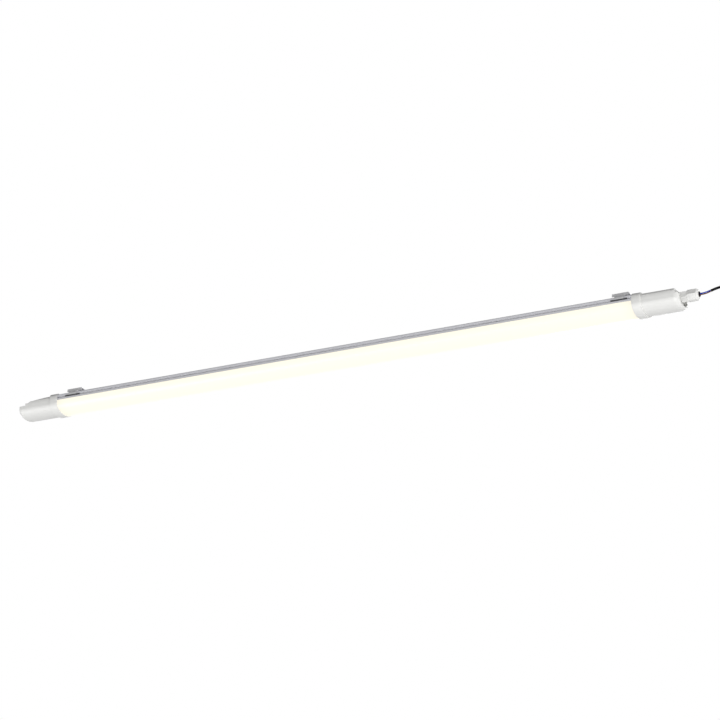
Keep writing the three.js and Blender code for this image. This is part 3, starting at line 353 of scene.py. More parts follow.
def belly_arc(bm, grow):
    """Half an ellipse from the far side under the belly to the near side; returns its two ends."""
    section = bpy.context.scene.light_section
    radius = section.half_width + grow
    start = bm.verts.new((0, radius, 0))
    old = set(bm.verts)
    spun = bmesh.ops.spin(
        bm, geom=[start], cent=(0, 0, 0), axis=(1, 0, 0), angle=-math.pi, steps=FINE_STEPS,
    )
    arc = [start] + [v for v in bm.verts if v not in old]
    end = next(g for g in spun["geom_last"] if isinstance(g, bmesh.types.BMVert))
    bmesh.ops.scale(bm, vec=(1, 1, (section.belly_depth + grow) / radius), verts=arc)
    bmesh.ops.translate(bm, vec=(0, 0, -section.hang), verts=arc)
    return start, end


def round_off(bm, geom, radius, steps, affect="EDGES", clamp=False):
    """Rounds edges or corners of a bmesh."""
    bmesh.ops.bevel(
        bm, geom=geom, offset=radius, offset_type="OFFSET", segments=steps, profile=0.5,
        affect=affect, material=-1, clamp_overlap=clamp,
    )


def round_corners(bm, corners, radius, steps=CORNER_STEPS):
    """Rounds corner vertices of a flat face."""
    round_off(bm, corners, radius, steps, affect="VERTICES")


def outline_face(grow, drop=0.0):
    """A bmesh with the light's outline as one face, grown by a distance, its roof dropped."""
    section = bpy.context.scene.light_section
    bm = bmesh.new()
    far, near = belly_arc(bm, grow)
    radius = max(section.roof_corner + grow, section.least_corner)
    top_rise = section.roof_rise - drop - section.roof_corner
    corner_width = side_width(top_rise) + grow
    corner_height = roof_height(drop) + grow
    rises = [top_rise * k / SIDE_POINTS for k in range(1, SIDE_POINTS + 1)]
    up = [(side_width(rise) + grow, rise - section.hang) for rise in rises]
    near_side = chain(bm, near, [(0, -y, z) for y, z in up] + [(0, -corner_width, corner_height)])
    far_side = chain(bm, far, [(0, y, z) for y, z in up] + [(0, corner_width, corner_height)])
    bm.edges.new((near_side[-1], far_side[-1]))
    bmesh.ops.edgeloop_fill(bm, edges=bm.edges[:])
    round_corners(bm, [near_side[-1], far_side[-1]], radius)
    bmesh.ops.remove_doubles(bm, verts=bm.verts[:], dist=MERGE_DISTANCE)
    return bm


def flat_face(points, radius=0.0):
    """A bmesh with one flat face through points, all its corners rounded by a radius."""
    bm = bmesh.new()
    corners = [bm.verts.new(point) for point in points]
    bm.faces.new(corners)
    if radius:
        round_corners(bm, corners, radius, SHEET_STEPS)
    return bm


def mirrored_points(half):
    """Points of half a section, from one point on the middle plane to another, and their mirror."""
    other = [(-y, z) for y, z in reversed(half) if abs(y) > MERGE_DISTANCE]
    return [(0, y, z) for y, z in list(half) + other]


def drawn(bm, way):
    """Draws out the bmesh's one face by a vector, and turns the faces outwards."""
    grown = bmesh.ops.extrude_face_region(bm, geom=bm.faces[:])
    moved = [g for g in grown["geom"] if isinstance(g, bmesh.types.BMVert)]
    bmesh.ops.translate(bm, vec=way, verts=moved)
    bmesh.ops.recalc_face_normals(bm, faces=bm.faces[:])
    return bm


def along(bm, start, end):
    """Draws out a section along X between two places."""
    bmesh.ops.translate(bm, vec=(start, 0, 0), verts=bm.verts[:])
    return drawn(bm, (end - start, 0, 0))


def across(points):
    """A side view in X and Z, drawn out across the whole light."""
    reach = 2 * bpy.context.scene.light_section.half_width
    return drawn(flat_face([(x, -reach, z) for x, z in points]), (0, 2 * reach, 0))


def block(low, high):
    """A block between two corners."""
    low, high = Vector(low), Vector(high)
    bm = bmesh.new()
    place = Matrix.LocRotScale((low + high) / 2, None, high - low)
    bmesh.ops.create_cube(bm, size=1.0, matrix=place)
    return bm


def spin_round(bm, centre, axis, steps):
    """Spins a profile a full turn, closes it and turns its faces outwards."""
    bmesh.ops.spin(
        bm, geom=bm.verts[:] + bm.edges[:], cent=centre, axis=axis, angle=2 * math.pi,
        steps=steps, use_merge=True,
    )
    bmesh.ops.remove_doubles(bm, verts=bm.verts[:], dist=MERGE_DISTANCE)
    bmesh.ops.recalc_face_normals(bm, faces=bm.faces[:])
    return bm


def turned(profile, height, steps=ROUND_STEPS):
    """A profile of radius and place, spun about a line along X at a height."""
    bm = bmesh.new()
    first = bm.verts.new((profile[0][1], 0, height + profile[0][0]))
    chain(bm, first, [(place, 0, height + radius) for radius, place in profile[1:]])
    return spin_round(bm, (0, 0, height), (1, 0, 0), steps)


def rod(radius, start, end, height, steps=ROUND_STEPS):
    """A round rod along X."""
    return turned([(0, start), (radius, start), (radius, end), (0, end)], height, steps)


def post(radius, x, y, low, high, steps):
    """A round post along Z."""
    bm = bmesh.new()
    bmesh.ops.create_circle(bm, cap_ends=True, segments=steps, radius=radius)
    bmesh.ops.translate(bm, vec=(x, y, low), verts=bm.verts[:])
    return drawn(bm, (0, 0, high - low))


def corner_radius(across_flats):
    """Radius through the corners of a hexagon."""
    return across_flats / 2 / math.cos(math.pi / 6)


def hexagon_bar(across_flats, turn, start, end, height):
    """A hexagonal bar along X with rounded long edges, one turned down from the near side."""
    bm = bmesh.new()
    bmesh.ops.create_circle(
        bm, cap_ends=True, segments=6, radius=corner_radius(across_flats))
    stand = Matrix(((0, 0, 1, 0), (1, 0, 0, 0), (0, 1, 0, 0), (0, 0, 0, 1)))
    bmesh.ops.transform(bm, matrix=stand, verts=bm.verts[:])
    spare = min(math.atan2(v.co.z, v.co.y) for v in bm.verts)
    onward = Matrix.Rotation(math.pi + turn - spare, 3, "X")
    bmesh.ops.rotate(bm, cent=(0, 0, 0), matrix=onward, verts=bm.verts[:])
    bmesh.ops.translate(bm, vec=(0, 0, height), verts=bm.verts[:])
    along(bm, start, end)
    long_edges = [e for e in bm.edges if abs(e.verts[0].co.x - e.verts[1].co.x) > OVERRUN]
    round_off(bm, long_edges, HEXAGON_ROUND, EDGE_STEPS)
    return bm


# Finished meshes.

def mesh_object(name, bm):
    """An object in the scene with the mesh of a bmesh, which it uses up."""
    mesh = bpy.data.meshes.new(name)
    bm.to_mesh(mesh)
    bm.free()
    made = bpy.data.objects.new(name, mesh)
    bpy.context.scene.collection.objects.link(made)
    return made


def combined(base, others, operation):
    """The bmesh base joined with, cut by or kept inside each of the others."""
    for other in others:
        base_object = mesh_object("scratch", base)
        other_object = mesh_object("scratch", other)
        boolean = base_object.modifiers.new("Combine", "BOOLEAN")
        boolean.operation = operation
        boolean.solver = "EXACT"
        boolean.object = other_object
        base = bmesh.new()
        base.from_object(base_object, bpy.context.evaluated_depsgraph_get())
        for scratch in (base_object, other_object):
            mesh = scratch.data
            bpy.data.objects.remove(scratch)
            bpy.data.meshes.remove(mesh)
        if not base.faces:
            raise RuntimeError("a boolean left nothing of its piece")
    return base


def cut(base, *others):
    """The bmesh base without the others."""
    return combined(base, others, "DIFFERENCE")


def joined(base, *others):
    """The bmesh base together with the others."""
    return combined(base, others, "UNION")


def kept_inside(base, *others):
    """The part of the bmesh base that is inside the others."""
    return combined(base, others, "INTERSECT")


def soften_ends(bm, x, radius):
    """Rounds the outline's edges where they lie square to X at a place."""
    edges = [e for e in bm.edges if all(abs(v.co.x - x) < MERGE_DISTANCE for v in e.verts)]
    round_off(bm, edges, radius, COLLAR_STEPS, clamp=True)


def add_piece(name, bm, slot, nodes, body=ROOT_BODY, edge=0.0, sharp=30, look=None):
    """Makes a finished piece of a bmesh; it stands for the CAD nodes and rides on a body."""
    bmesh.ops.remove_doubles(bm, verts=bm.verts[:], dist=MERGE_DISTANCE)
    bmesh.ops.dissolve_degenerate(bm, edges=bm.edges[:], dist=MERGE_DISTANCE)
    for face in bm.faces:
        face.smooth = True
    for line in bm.edges:
        line.smooth = len(line.link_faces) == 2 and line.calc_face_angle() < math.radians(sharp)
    piece = mesh_object(name, bm)
    if edge:
        bevel = piece.modifiers.new("Moulded edges", "BEVEL")
        bevel.width = edge
        bevel.segments = 2
        bevel.limit_method = "ANGLE"
        bevel.angle_limit = math.radians(sharp)
        bevel.use_clamp_overlap = True
        bevel.harden_normals = True
    return claim(piece, slot, nodes, body, look)


def claim(piece, slot, nodes, body=ROOT_BODY, look=None):
    """Gives a piece its finish, or a look of its own, its CAD nodes and its body."""
    piece.data.materials.append(finish(look or slot))
    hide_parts(*nodes)
    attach(piece, body)
    return piece


# Finishes.

# Fine grain the same all ways, along a wire, and drawn along the light.
FINE = (2600, 2600, 2600)
WIRE_GRAIN = (400, 2600, 2600)
DRAWN_ALONG = (30, 2200, 2200)
# Each slot's colour, roughness, metalness, grain, colour spread, uneven roughness, relief and,
# where it isn't a half, shine. A word for the colour names one that a user may change.
FINISHES = {
    "housing": ("housing", 0.42, 0.0, FINE, 0.015, 0.05, 0.10),
    "cap": ("cap", 0.42, 0.0, FINE, 0.012, 0.05, 0.12),
    "steel": ("steel", 0.32, 1.0, DRAWN_ALONG, 0.10, 0.10, 0.30),
    "rubber": ("rubber", 0.75, 0.0, FINE, 0.15, 0.08, 0.35, 0.15),
    "tray": ((0.80, 0.81, 0.81), 0.45, 0.0, (1400, 1400, 1400), 0.02, 0.06, 0.30),
    "driver": ((0.76, 0.76, 0.73), 0.50, 0.0, FINE, 0.02, 0.06, 0.25),
    "terminal": ((0.55, 0.56, 0.57), 0.50, 0.0, FINE, 0.03, 0.06, 0.25),
    "button": ((0.75, 0.20, 0.04), 0.45, 0.0, FINE, 0.04, 0.06, 0.20),
    "brass": ((0.70, 0.50, 0.20), 0.35, 1.0, DRAWN_ALONG, 0.08, 0.08, 0.25),
    "tin": ((0.62, 0.63, 0.64), 0.35, 1.0, FINE, 0.10, 0.10, 0.30),
    "blue_wire": ("blue", 0.60, 0.0, WIRE_GRAIN, 0.06, 0.06, 0.15, 0.1),
    "brown_wire": ("brown", 0.60, 0.0, WIRE_GRAIN, 0.06, 0.06, 0.15, 0.1),
    "red_wire": ((0.45, 0.02, 0.015), 0.42, 0.0, WIRE_GRAIN, 0.06, 0.06, 0.15),
    "black_wire": ("sheath", 0.60, 0.0, (900, 900, 900), 0.12, 0.08, 0.30, 0.12),
}
RELIEF_DEPTH = 0.0001
# How far from the diffuser's ends its light starts to weaken.
GLOW_FADE = 0.035
# Painted light at the top: how much paler the housing's roof and the gland's upper flats are, a
# painted highlight, and how much greyer the caps' roof is, painted shade.
ROOF_HIGHLIGHT = 1.5
ROOF_SHADE = 0.80
GLAND_HIGHLIGHT = 1.22
# Depth and colour of the lamps on their boards, and scale and colour of the circuit's tracks.
LAMP_DEPTH = 0.0006
LAMP_YELLOW = (0.90, 0.72, 0.22)
TRACK_SCALE = 320
TRACK_GREEN = (0.10, 0.30, 0.12)


def add_node(owner, kind, **values):
    """A shader node of a material or a world, with its plain settings."""
    node = owner.node_tree.nodes.new(kind)
    for key, value in values.items():
        setattr(node, key, value)
    return node


def new_material(name):
    """A material, and the inputs of its shader."""
    material = bpy.data.materials.new(name)
    material.use_nodes = True
    return material, material.node_tree.nodes["Principled BSDF"].inputs


def parts_of(owner, coordinate):
    """The parts along X, Y and Z of a texture coordinate; returns their outputs."""
    place = add_node(owner, "ShaderNodeTexCoord")
    parts = add_node(owner, "ShaderNodeSeparateXYZ")
    owner.node_tree.links.new(place.outputs[coordinate], parts.inputs["Vector"])
    return parts.outputs


def object_grain(material, stretch):
    """Noise on Object coordinates, with its own scale along each axis; returns its output."""
    place = add_node(material, "ShaderNodeTexCoord")
    mapping = add_node(material, "ShaderNodeMapping")
    mapping.inputs["Scale"].default_value = stretch
    noise = add_node(material, "ShaderNodeTexNoise")
    noise.inputs["Scale"].default_value = 1.0
    noise.inputs["Detail"].default_value = 3.0
    links = material.node_tree.links
    links.new(place.outputs["Object"], mapping.inputs["Vector"])
    links.new(mapping.outputs["Vector"], noise.inputs["Vector"])
    return noise.outputs["Fac"]


def worked_out(material, operation, *values):
    """A sum on outputs and numbers; returns its output."""
    node = add_node(material, "ShaderNodeMath", operation=operation)
    for place, value in zip(node.inputs, values):
        if isinstance(value, float):
            place.default_value = value
        else:
            material.node_tree.links.new(value, place)
    return node.outputs["Value"]


def ranged(owner, value, start, end, low, high, way="LINEAR"):
    """Maps the range from start to end on to the one from low to high; returns the output."""
    node = add_node(owner, "ShaderNodeMapRange", interpolation_type=way)
    limits = {"From Min": start, "From Max": end, "To Min": low, "To Max": high}
    for name, limit in limits.items():
        node.inputs[name].default_value = limit
    owner.node_tree.links.new(value, node.inputs["Value"])
    return node.outputs["Result"]


def stronger(colour, strength):
    """A colour made paler or darker, but no paler than white."""
    return [min(part * strength, 1) for part in colour]


def mixed(material, factor, first, second):
    """Mixes two colours by a factor; returns the output."""
    mix = add_node(material, "ShaderNodeMix", data_type="RGBA")
    mix.inputs["A"].default_value = (*first, 1)
    mix.inputs["B"].default_value = (*second, 1)
    material.node_tree.links.new(factor, mix.inputs["Factor"])
    return mix.outputs["Result"]


def laid_over(material, factor, colour):
    """Lays a colour over the material's own by a factor; returns the material."""
    links = material.node_tree.links
    base = material.node_tree.nodes["Principled BSDF"].inputs["Base Color"]
    mix = add_node(material, "ShaderNodeMix", data_type="RGBA")
    mix.inputs["B"].default_value = (*colour, 1)
    links.new(factor, mix.inputs["Factor"])
    links.new(base.links[0].from_socket, mix.inputs["A"])
    links.new(mix.outputs["Result"], base)
    return material


def plain_finish(name, colour, roughness, metallic, stretch, spread, uneven, relief, shine=0.5):
    """A finish with grain in its colour, its roughness and its relief."""
    material, shader = new_material(name)
    shader["Metallic"].default_value = metallic
    shader["Specular IOR Level"].default_value = shine
    grain = object_grain(material, stretch)
    tone = mixed(material, grain, stronger(colour, 1 - spread), stronger(colour, 1 + spread))
    rough = ranged(material, grain, 0, 1, roughness - uneven, roughness + uneven)
    bump = add_node(material, "ShaderNodeBump")
    bump.inputs["Strength"].default_value = relief
    bump.inputs["Distance"].default_value = RELIEF_DEPTH
    links = material.node_tree.links
    links.new(tone, shader["Base Color"])
    links.new(rough, shader["Roughness"])
    links.new(grain, bump.inputs["Height"])
    links.new(bump.outputs["Normal"], shader["Normal"])
    return material


def glowing_finish():
    """The lit opal shell, whose light weakens towards its ends."""
    colours = bpy.context.scene.light_colours
    material, shader = new_material("opal_lit")
    shader["Roughness"].default_value = 0.35
    shader["Base Color"].default_value = (*colours.opal, 1)
    shader["Emission Strength"].default_value = 1.0
    end = high_corner("diffuser").x
    distance = worked_out(material, "ABSOLUTE", parts_of(material, "Object")["X"])
    near_end = ranged(material, distance, end - GLOW_FADE, end, 0, 1, "SMOOTHSTEP")
    glow = mixed(material, near_end, colours.glow, colours.glow_end)
    material.node_tree.links.new(glow, shader["Emission Color"])
    return material


def board_finish():
    """White lamp board; what stands below its underside is the yellow of its lamps."""
    material = plain_finish("board_white", (0.84, 0.84, 0.80), 0.40, 0.0, FINE, 0.02, 0.05, 0.15)
    underside = low_corner("lamp_board_1").z + LAMP_DEPTH
    below = worked_out(material, "LESS_THAN", parts_of(material, "Object")["Z"], underside)
    return laid_over(material, below, LAMP_YELLOW)


def circuit_finish():
    """Green circuit board with a fine pattern of tracks."""
    material = plain_finish(
        "circuit_green", (0.03, 0.14, 0.05), 0.45, 0.0, (900, 900, 900), 0.2, 0.08, 0.3)
    place = add_node(material, "ShaderNodeTexCoord")
    tracks = add_node(material, "ShaderNodeTexVoronoi", distance="MANHATTAN")
    tracks.inputs["Scale"].default_value = TRACK_SCALE
    material.node_tree.links.new(place.outputs["Object"], tracks.inputs["Vector"])
    return laid_over(material, tracks.outputs["Distance"], TRACK_GREEN)


def clip_finish():
    """Satin spring steel; its lips and inner faces get painted shade, a near-black tint."""
    colours = bpy.context.scene.light_colours
    clips = bpy.context.scene.light_clips
    material = plain_finish("clip_steel", colours.steel, 0.40, 0.5, DRAWN_ALONG, 0.10, 0.10, 0.30)
    place = parts_of(material, "Object")
    facing = parts_of(material, "Normal")
    lip_top = low_corner("lead_end_clip").z + clips.lip
    lip_fade = lip_top + bpy.context.scene.light_section.fit
    # Painted shade on the lips, which sit in the shaded groove.
    lip = ranged(material, place["Z"], lip_top, lip_fade, 1, 0)
    # Painted shade on the faces that look in, in the shaded hollow under the base.
    outward = worked_out(material, "MULTIPLY", place["Y"], facing["Y"])
    inside = worked_out(material, "LESS_THAN", outward, -clips.half_width / 2)
    shade_mask = worked_out(material, "MAXIMUM", lip, inside)
    return laid_over(material, shade_mask, colours.clip_shade)


def roof_finish(slot, low, high, strength):
    """A slot's finish with painted light: its colour grows paler, a painted highlight, or greyer,
    painted shade, from one height up to another.
    """
    colour = getattr(bpy.context.scene.light_colours, slot)
    material = plain_finish(f"{slot}_roof", colour, *FINISHES[slot][1:])
    height = parts_of(material, "Object")["Z"]
    # Painted highlight or painted shade, as the strength makes the colour paler or greyer.
    upper = ranged(material, height, low, high, 0, 1, "SMOOTHSTEP")
    return laid_over(material, upper, stronger(colour, strength))


def housing_finish():
    """The grey back with a painted highlight: paler above its clip grooves, where the rounded roof
    catches the light.
    """
    drop = bpy.context.scene.light_body.groove_drop
    # Painted highlight on the roof above the clip grooves.
    return roof_finish("housing", roof_height(drop), roof_height(drop / 2), ROOF_HIGHLIGHT)


def cap_body_finish():
    """The caps' plastic with painted shade: a little greyer at the roof, where the rounded top
    turns away from the light.
    """
    corner = bpy.context.scene.light_section.roof_corner
    # Painted shade towards the caps' roof.
    return roof_finish("cap", roof_height(2 * corner), roof_height(corner / 2), ROOF_SHADE)


def gland_finish():
    """The gland's plastic with a painted highlight: a little paler on its upper flats."""
    middle = node_middle("gland_nut").z
    # Painted highlight on the gland's upper flats.
    return roof_finish("cap", middle, high_corner("gland_nut").z, GLAND_HIGHLIGHT)


OWN_FINISHES = {
    "diffuser": glowing_finish,
    "board": board_finish,
    "circuit": circuit_finish,
    "clip": clip_finish,
    "housing": housing_finish,
    "cap_body": cap_body_finish,
    "gland": gland_finish,
}


def finish(look):
    """The one material of a slot or of a look of its own, made when it is first asked for."""
    made = bpy.data.materials.get(f"finish_{look}")
    if made:
        return made
    if look in OWN_FINISHES:
        material = OWN_FINISHES[look]()
    else:
        colour, *rest = FINISHES[look]
        if isinstance(colour, str):
            colour = getattr(bpy.context.scene.light_colours, colour)
        material = plain_finish(look, colour, *rest)
    material.name = f"finish_{look}"
    return material


# Camera, floor and lights.

SENSOR_WIDTH = 36
VIEW_DEPTH = 200
# The studio's light from straight below, at nought, to straight above, at one.
SKY = (
    (0.0, (0.70, 0.70, 0.70)), (0.42, (0.76, 0.76, 0.76)), (0.55, (0.55, 0.55, 0.55)),
    (0.75, (0.30, 0.30, 0.30)), (1.0, (0.26, 0.26, 0.27)),
)


class LIGHT_OT_studio(bpy.types.Operator):
    """Stands the camera, the pale floor and the soft lights around the light"""

    bl_idname = "slim_light.studio"
    bl_label = "Studio"

    def execute(self, context):
        studio = context.scene.light_studio
        self.stand_camera(context, studio)
        self.lay_floor(studio)
        self.light_world(context)
        low, behind = -studio.lamp_drop, studio.behind_rise
        lamps = (
            ("near", studio.near_power, 40, low), ("left", studio.left_power, -60, low),
            ("right", studio.right_power, 90, 0), ("behind", studio.behind_power, 180, behind),
        )
        for name, power, turn, rise in lamps:
            self.soft_lamp(context, name, power, math.radians(turn), rise)
        context.scene.view_settings.view_transform = "Standard"
        return {"FINISHED"}

    def stand_camera(self, context, studio):
        """Stands the camera below the light and to its right, at the photograph's angle."""
        forward = Vector((
            -math.sin(studio.turn) * math.cos(studio.tilt),
            math.cos(studio.turn) * math.cos(studio.tilt),
            math.sin(studio.tilt),
        ))
        right = Vector((math.cos(studio.turn), math.sin(studio.turn), 0))
        up = right.cross(forward)
        middle = Vector((0, 0, -context.scene.light_section.hang))
        place = middle - forward * studio.distance + right * studio.aside
        camera_data = bpy.data.cameras.new("camera")
        camera_data.sensor_width = SENSOR_WIDTH
        camera_data.lens = studio.lens
        camera_data.clip_end = VIEW_DEPTH
        camera = bpy.data.objects.new("camera", camera_data)
        axes = Matrix((right, up, -forward)).transposed()
        camera.matrix_world = Matrix.Translation(place) @ axes.to_4x4()
        context.scene.collection.objects.link(camera)
        context.scene.camera = camera

    def lay_floor(self, studio):
        """Lays a plain pale floor well below the light."""
        bm = bmesh.new()
        bmesh.ops.create_grid(bm, x_segments=1, y_segments=1, size=studio.floor_size / 2)
        bmesh.ops.translate(bm, vec=(0, 0, -studio.floor_drop), verts=bm.verts[:])
        floor = mesh_object("floor", bm)
        floor.data.materials.append(plain_finish(
            "floor_pale", (0.86, 0.86, 0.86), 0.8, 0.0, (3, 3, 3), 0.01, 0.05, 0.1))

    def soft_lamp(self, context, name, power, turn, rise):
        """A wide lamp that faces the light from a side and a rise, and doesn't show itself."""
        studio = context.scene.light_studio
        lamp_data = bpy.data.lights.new(name, "AREA")
        lamp_data.energy = power
        lamp_data.size = studio.lamp_size
        lamp = bpy.data.objects.new(name, lamp_data)
        middle = Vector((0, 0, -context.scene.light_section.hang))
        way = Vector((
            math.sin(turn) * math.cos(rise), -math.cos(turn) * math.cos(rise), math.sin(rise),
        ))
        turned_to = (-way).to_track_quat("-Z", "Y")
        lamp.matrix_world = Matrix.LocRotScale(middle + way * studio.lamp_distance, turned_to, None)
        lamp.visible_camera = False
        context.scene.collection.objects.link(lamp)

    def light_world(self, context):
        """White behind the light; the light that falls on it is weaker from above."""
        world = bpy.data.worlds.new("studio")
        context.scene.world = world
        world.use_nodes = True
        world.node_tree.nodes.clear()
        rise = ranged(world, parts_of(world, "Generated")["Z"], -1, 1, 0, 1)
        ramp = add_node(world, "ShaderNodeValToRGB")
        stops = ramp.color_ramp.elements
        for position, _ in SKY[1:-1]:
            stops.new(position)
        for stop, (position, colour) in zip(stops, SKY):
            stop.position = position
            stop.color = (*colour, 1)
        shade = add_node(world, "ShaderNodeBackground")
        white = add_node(world, "ShaderNodeBackground")
        white.inputs["Color"].default_value = (1, 1, 1, 1)
        rays = add_node(world, "ShaderNodeLightPath")
        mix = add_node(world, "ShaderNodeMixShader")
        output = add_node(world, "ShaderNodeOutputWorld")
        links = world.node_tree.links
        links.new(rise, ramp.inputs["Fac"])
        links.new(ramp.outputs["Color"], shade.inputs["Color"])
        links.new(rays.outputs["Is Camera Ray"], mix.inputs["Fac"])
        links.new(shade.outputs["Background"], mix.inputs[1])
        links.new(white.outputs["Background"], mix.inputs[2])
        links.new(mix.outputs["Shader"], output.inputs["Surface"])


# The lead.

# Part of a turn in which the coil goes over to its second layer.
LAYER_CHANGE = 0.5
# The lead's cores, and the side of its middle that each is on.
CORES = (("blue", 1), ("brown", -1))
# How far below the terminal block's top the feed cores start, and how far they then run level.
ENTRY_DROP = 0.0044
ENTRY_RUN = 0.0065


def coil_point(turn, centre):
    """A point on the coil's middle line: in for half its turns, over a layer, and out again."""
    lead = bpy.context.scene.light_lead
    inward = min(turn, lead.coil_turns - turn)
    radius = lead.coil_radius - lead.coil_pitch * inward
    way = min(max((turn - lead.coil_turns / 2 + LAYER_CHANGE / 2) / LAYER_CHANGE, 0), 1)
    climb = way * way * (3 - 2 * way)
    angle = -2 * math.pi * turn
    return centre + Vector((
        radius * math.cos(angle), lead.coil_pitch * (climb - 0.5), radius * math.sin(angle),
    ))


def round_line(name, points, radius, slot, nodes):
    """A smooth round cord through exact points, as a curve of one open spline."""
    curve = bpy.data.curves.new(name, "CURVE")
    curve.dimensions = "3D"
    curve.bevel_depth = radius
    curve.bevel_resolution = CORD_STEPS
    curve.resolution_u = CORD_STEPS
    curve.use_fill_caps = True
    spline = curve.splines.new("BEZIER")
    spline.bezier_points.add(len(points) - 1)
    for knot, point in zip(spline.bezier_points, points):
        knot.co = point
        knot.handle_left_type = knot.handle_right_type = "AUTO"
    cord = bpy.data.objects.new(name, curve)
    bpy.context.scene.collection.objects.link(cord)
    return claim(cord, slot, nodes)


class LIGHT_OT_lead(bpy.types.Operator):
    """Makes the lead with its coil, ties and bare end, and the cores that feed the light"""

    bl_idname = "slim_light.lead"
    bl_label = "Lead"

    def execute(self, context):
        lead = context.scene.light_lead
        fit = context.scene.light_section.fit
        seal = high_corner("gland_seal")
        nose = Vector((seal.x, 0, node_middle("gland_nut").z))
        route = [nose + Vector(offset) for offset in ROUTE_FROM_SEAL]
        centre = Vector((route[-1].x - lead.coil_radius, 0, route[-1].z - 2 * lead.sheath - fit))
        straight = 2 * lead.sheath
        steps = lead.coil_turns * lead.coil_steps
        coil = [coil_point(n / lead.coil_steps, centre) for n in range(steps + 1)]
        end = coil[-1] + Vector((0, 0, -straight))
        points = route + coil + [end]
        cord = round_line(
            "lead_cord", points, lead.sheath, "black_wire", ("cord_stretch", "cord_coil"))
        ties = [self.tie(node) for node in ("coil_tie_top", "coil_tie_bottom")]
        tails = self.tails(lead, fit, coil[-1], end)
        self.feed_cores(lead, fit, nose, route)
        return {"FINISHED"}

    def tie(self, node):
        """A strap with round corners around the coil's turns."""
        wall = bpy.context.scene.light_lead.tie_wall
        low, high = low_corner(node), high_corner(node)
        outer = along(self.strap_outline(low, high, 0, 2 * wall), low.x, high.x)
        inner = along(
            self.strap_outline(low, high, wall, wall), low.x - OVERRUN, high.x + OVERRUN)
        return add_piece(f"{node}_strap", cut(outer, inner), "black_wire", [node], edge=TIE_EDGE)

    def strap_outline(self, low, high, inset, radius):
        """A face with round corners, set in from a tie's outside."""
        left, right = low.y + inset, high.y - inset
        bottom, top = low.z + inset, high.z - inset
        points = [(0, left, bottom), (0, right, bottom), (0, right, top), (0, left, top)]
        return flat_face(points, radius)

    def tails(self, lead, fit, last, end):
        """The two bare cores at the lead's end, and their ferrules."""
        made = []
        top = end.z - fit
        low = top - lead.tail
        for colour, side in CORES:
            near = last.x + side * (lead.core + fit / 2)
            far = last.x + side * lead.tail_splay
            points = [
                Vector((near, last.y, top)), Vector((near, last.y, top - lead.sheath)),
                Vector((far, last.y, (top + low) / 2)), Vector((far, last.y, low)),
            ]
            made.append(round_line(
                f"tail_{colour}", points, lead.core, f"{colour}_wire", [f"tail_core_{colour}"]))
            made.append(self.ferrule(f"ferrule_{colour}"))
        return made

    def ferrule(self, node):
        """A tube with round ends, crimped on a core."""
        low, high = low_corner(node), high_corner(node)
        middle = node_middle(node)
        radius = (high.x - low.x) / 2
        bm = post(radius, middle.x, middle.y, low.z, high.z, SMALL_STEPS)
        ends = [e for e in bm.edges if abs(e.verts[0].co.z - e.verts[1].co.z) < MERGE_DISTANCE]
        round_off(bm, ends, radius / 4, EDGE_STEPS)
        return add_piece(f"{node}_tube", bm, "tin", [node])

    def feed_cores(self, lead, fit, nose, route):
        """The two cores from the terminal block through the gland into the sheath's mouth."""
        boss = bpy.context.scene.light_gland.boss
        mouth = route[0]
        way = (route[1] - mouth).normalized()
        core_end = mouth - way * 2 * fit
        wall = low_corner("gland_washer").x - fit
        nut_start, nut_end = node_ends("gland_nut")
        nut_middle = (nut_start + nut_end) / 2
        for colour, side in CORES:
            node = f"feed_core_{colour}"
            low, high = low_corner(node), high_corner(node)
            entry = Vector((low.x, 0, 0))
            entry.y = low.y + lead.core if side > 0 else high.y - lead.core
            entry.z = high_corner("terminal_block").z - ENTRY_DROP
            aside = side * lead.core_spread
            through = nose.z + aside
            level = (wall - boss, wall, nut_start, nut_middle, nut_end, nose.x + fit)
            points = [
                entry, entry + Vector((ENTRY_RUN, 0, 0)),
                *[Vector((x, 0, through)) for x in level],
                Vector(((nose.x + mouth.x) / 2, -side * lead.core / 2,
                        through + (mouth.z - nose.z) / 5)),
                Vector((core_end.x - aside * way.z, 0, core_end.z + aside * way.x)),
            ]
            round_line(f"core_{colour}", points, lead.core, f"{colour}_wire", [node])


# The housing and the diffuser.

class LIGHT_OT_housing(bpy.types.Operator):
    """Draws the grey back with its clip grooves, diffuser slots and tray ledges"""

    bl_idname = "slim_light.housing"
    bl_label = "Housing"

    def execute(self, context):
        section = context.scene.light_section
        body = context.scene.light_body
        joint, roof = section.shoulder_rise, section.roof_rise
        groove_top = roof - body.groove_drop
        groove_floor = groove_top - body.groove_height
        above, beneath = side_width(groove_top), side_width(groove_floor)
        side = side_width(joint)
        slot_outer = side - body.outer_leg
        slot_inner = slot_outer - body.lip_wall - 2 * section.fit
        slot_top = joint + body.lip_height + section.fit
        leg = slot_inner - body.inner_leg
        ledge = leg - body.ledge_depth
        ledge_top = joint + body.ledge_thickness
        ceiling = roof - body.wall
        chamfer = section.roof_corner / 2
        half = [
            (0, ceiling), (leg - chamfer, ceiling), (leg, ceiling - chamfer), (leg, ledge_top),
            (ledge, ledge_top), (ledge, joint), (slot_inner, joint), (slot_inner, slot_top),
            (slot_outer, slot_top), (slot_outer, joint), (side, joint), (beneath, groove_floor),
            (beneath - body.groove_depth, groove_floor), (above - body.groove_depth, groove_top),
            (above, groove_top), (side_width(roof - section.roof_corner), roof),
        ]
        points = mirrored_points([(y, rise - section.hang) for y, rise in half])
        end = high_corner("housing").x
        bm = flat_face(points)
        tops = sorted(bm.verts, key=lambda v: v.co.z)[-2:]
        round_corners(bm, tops, section.roof_corner)
        add_piece("housing_back", along(bm, -end, end), "housing", ["housing"], edge=HOUSING_EDGE)
        return {"FINISHED"}


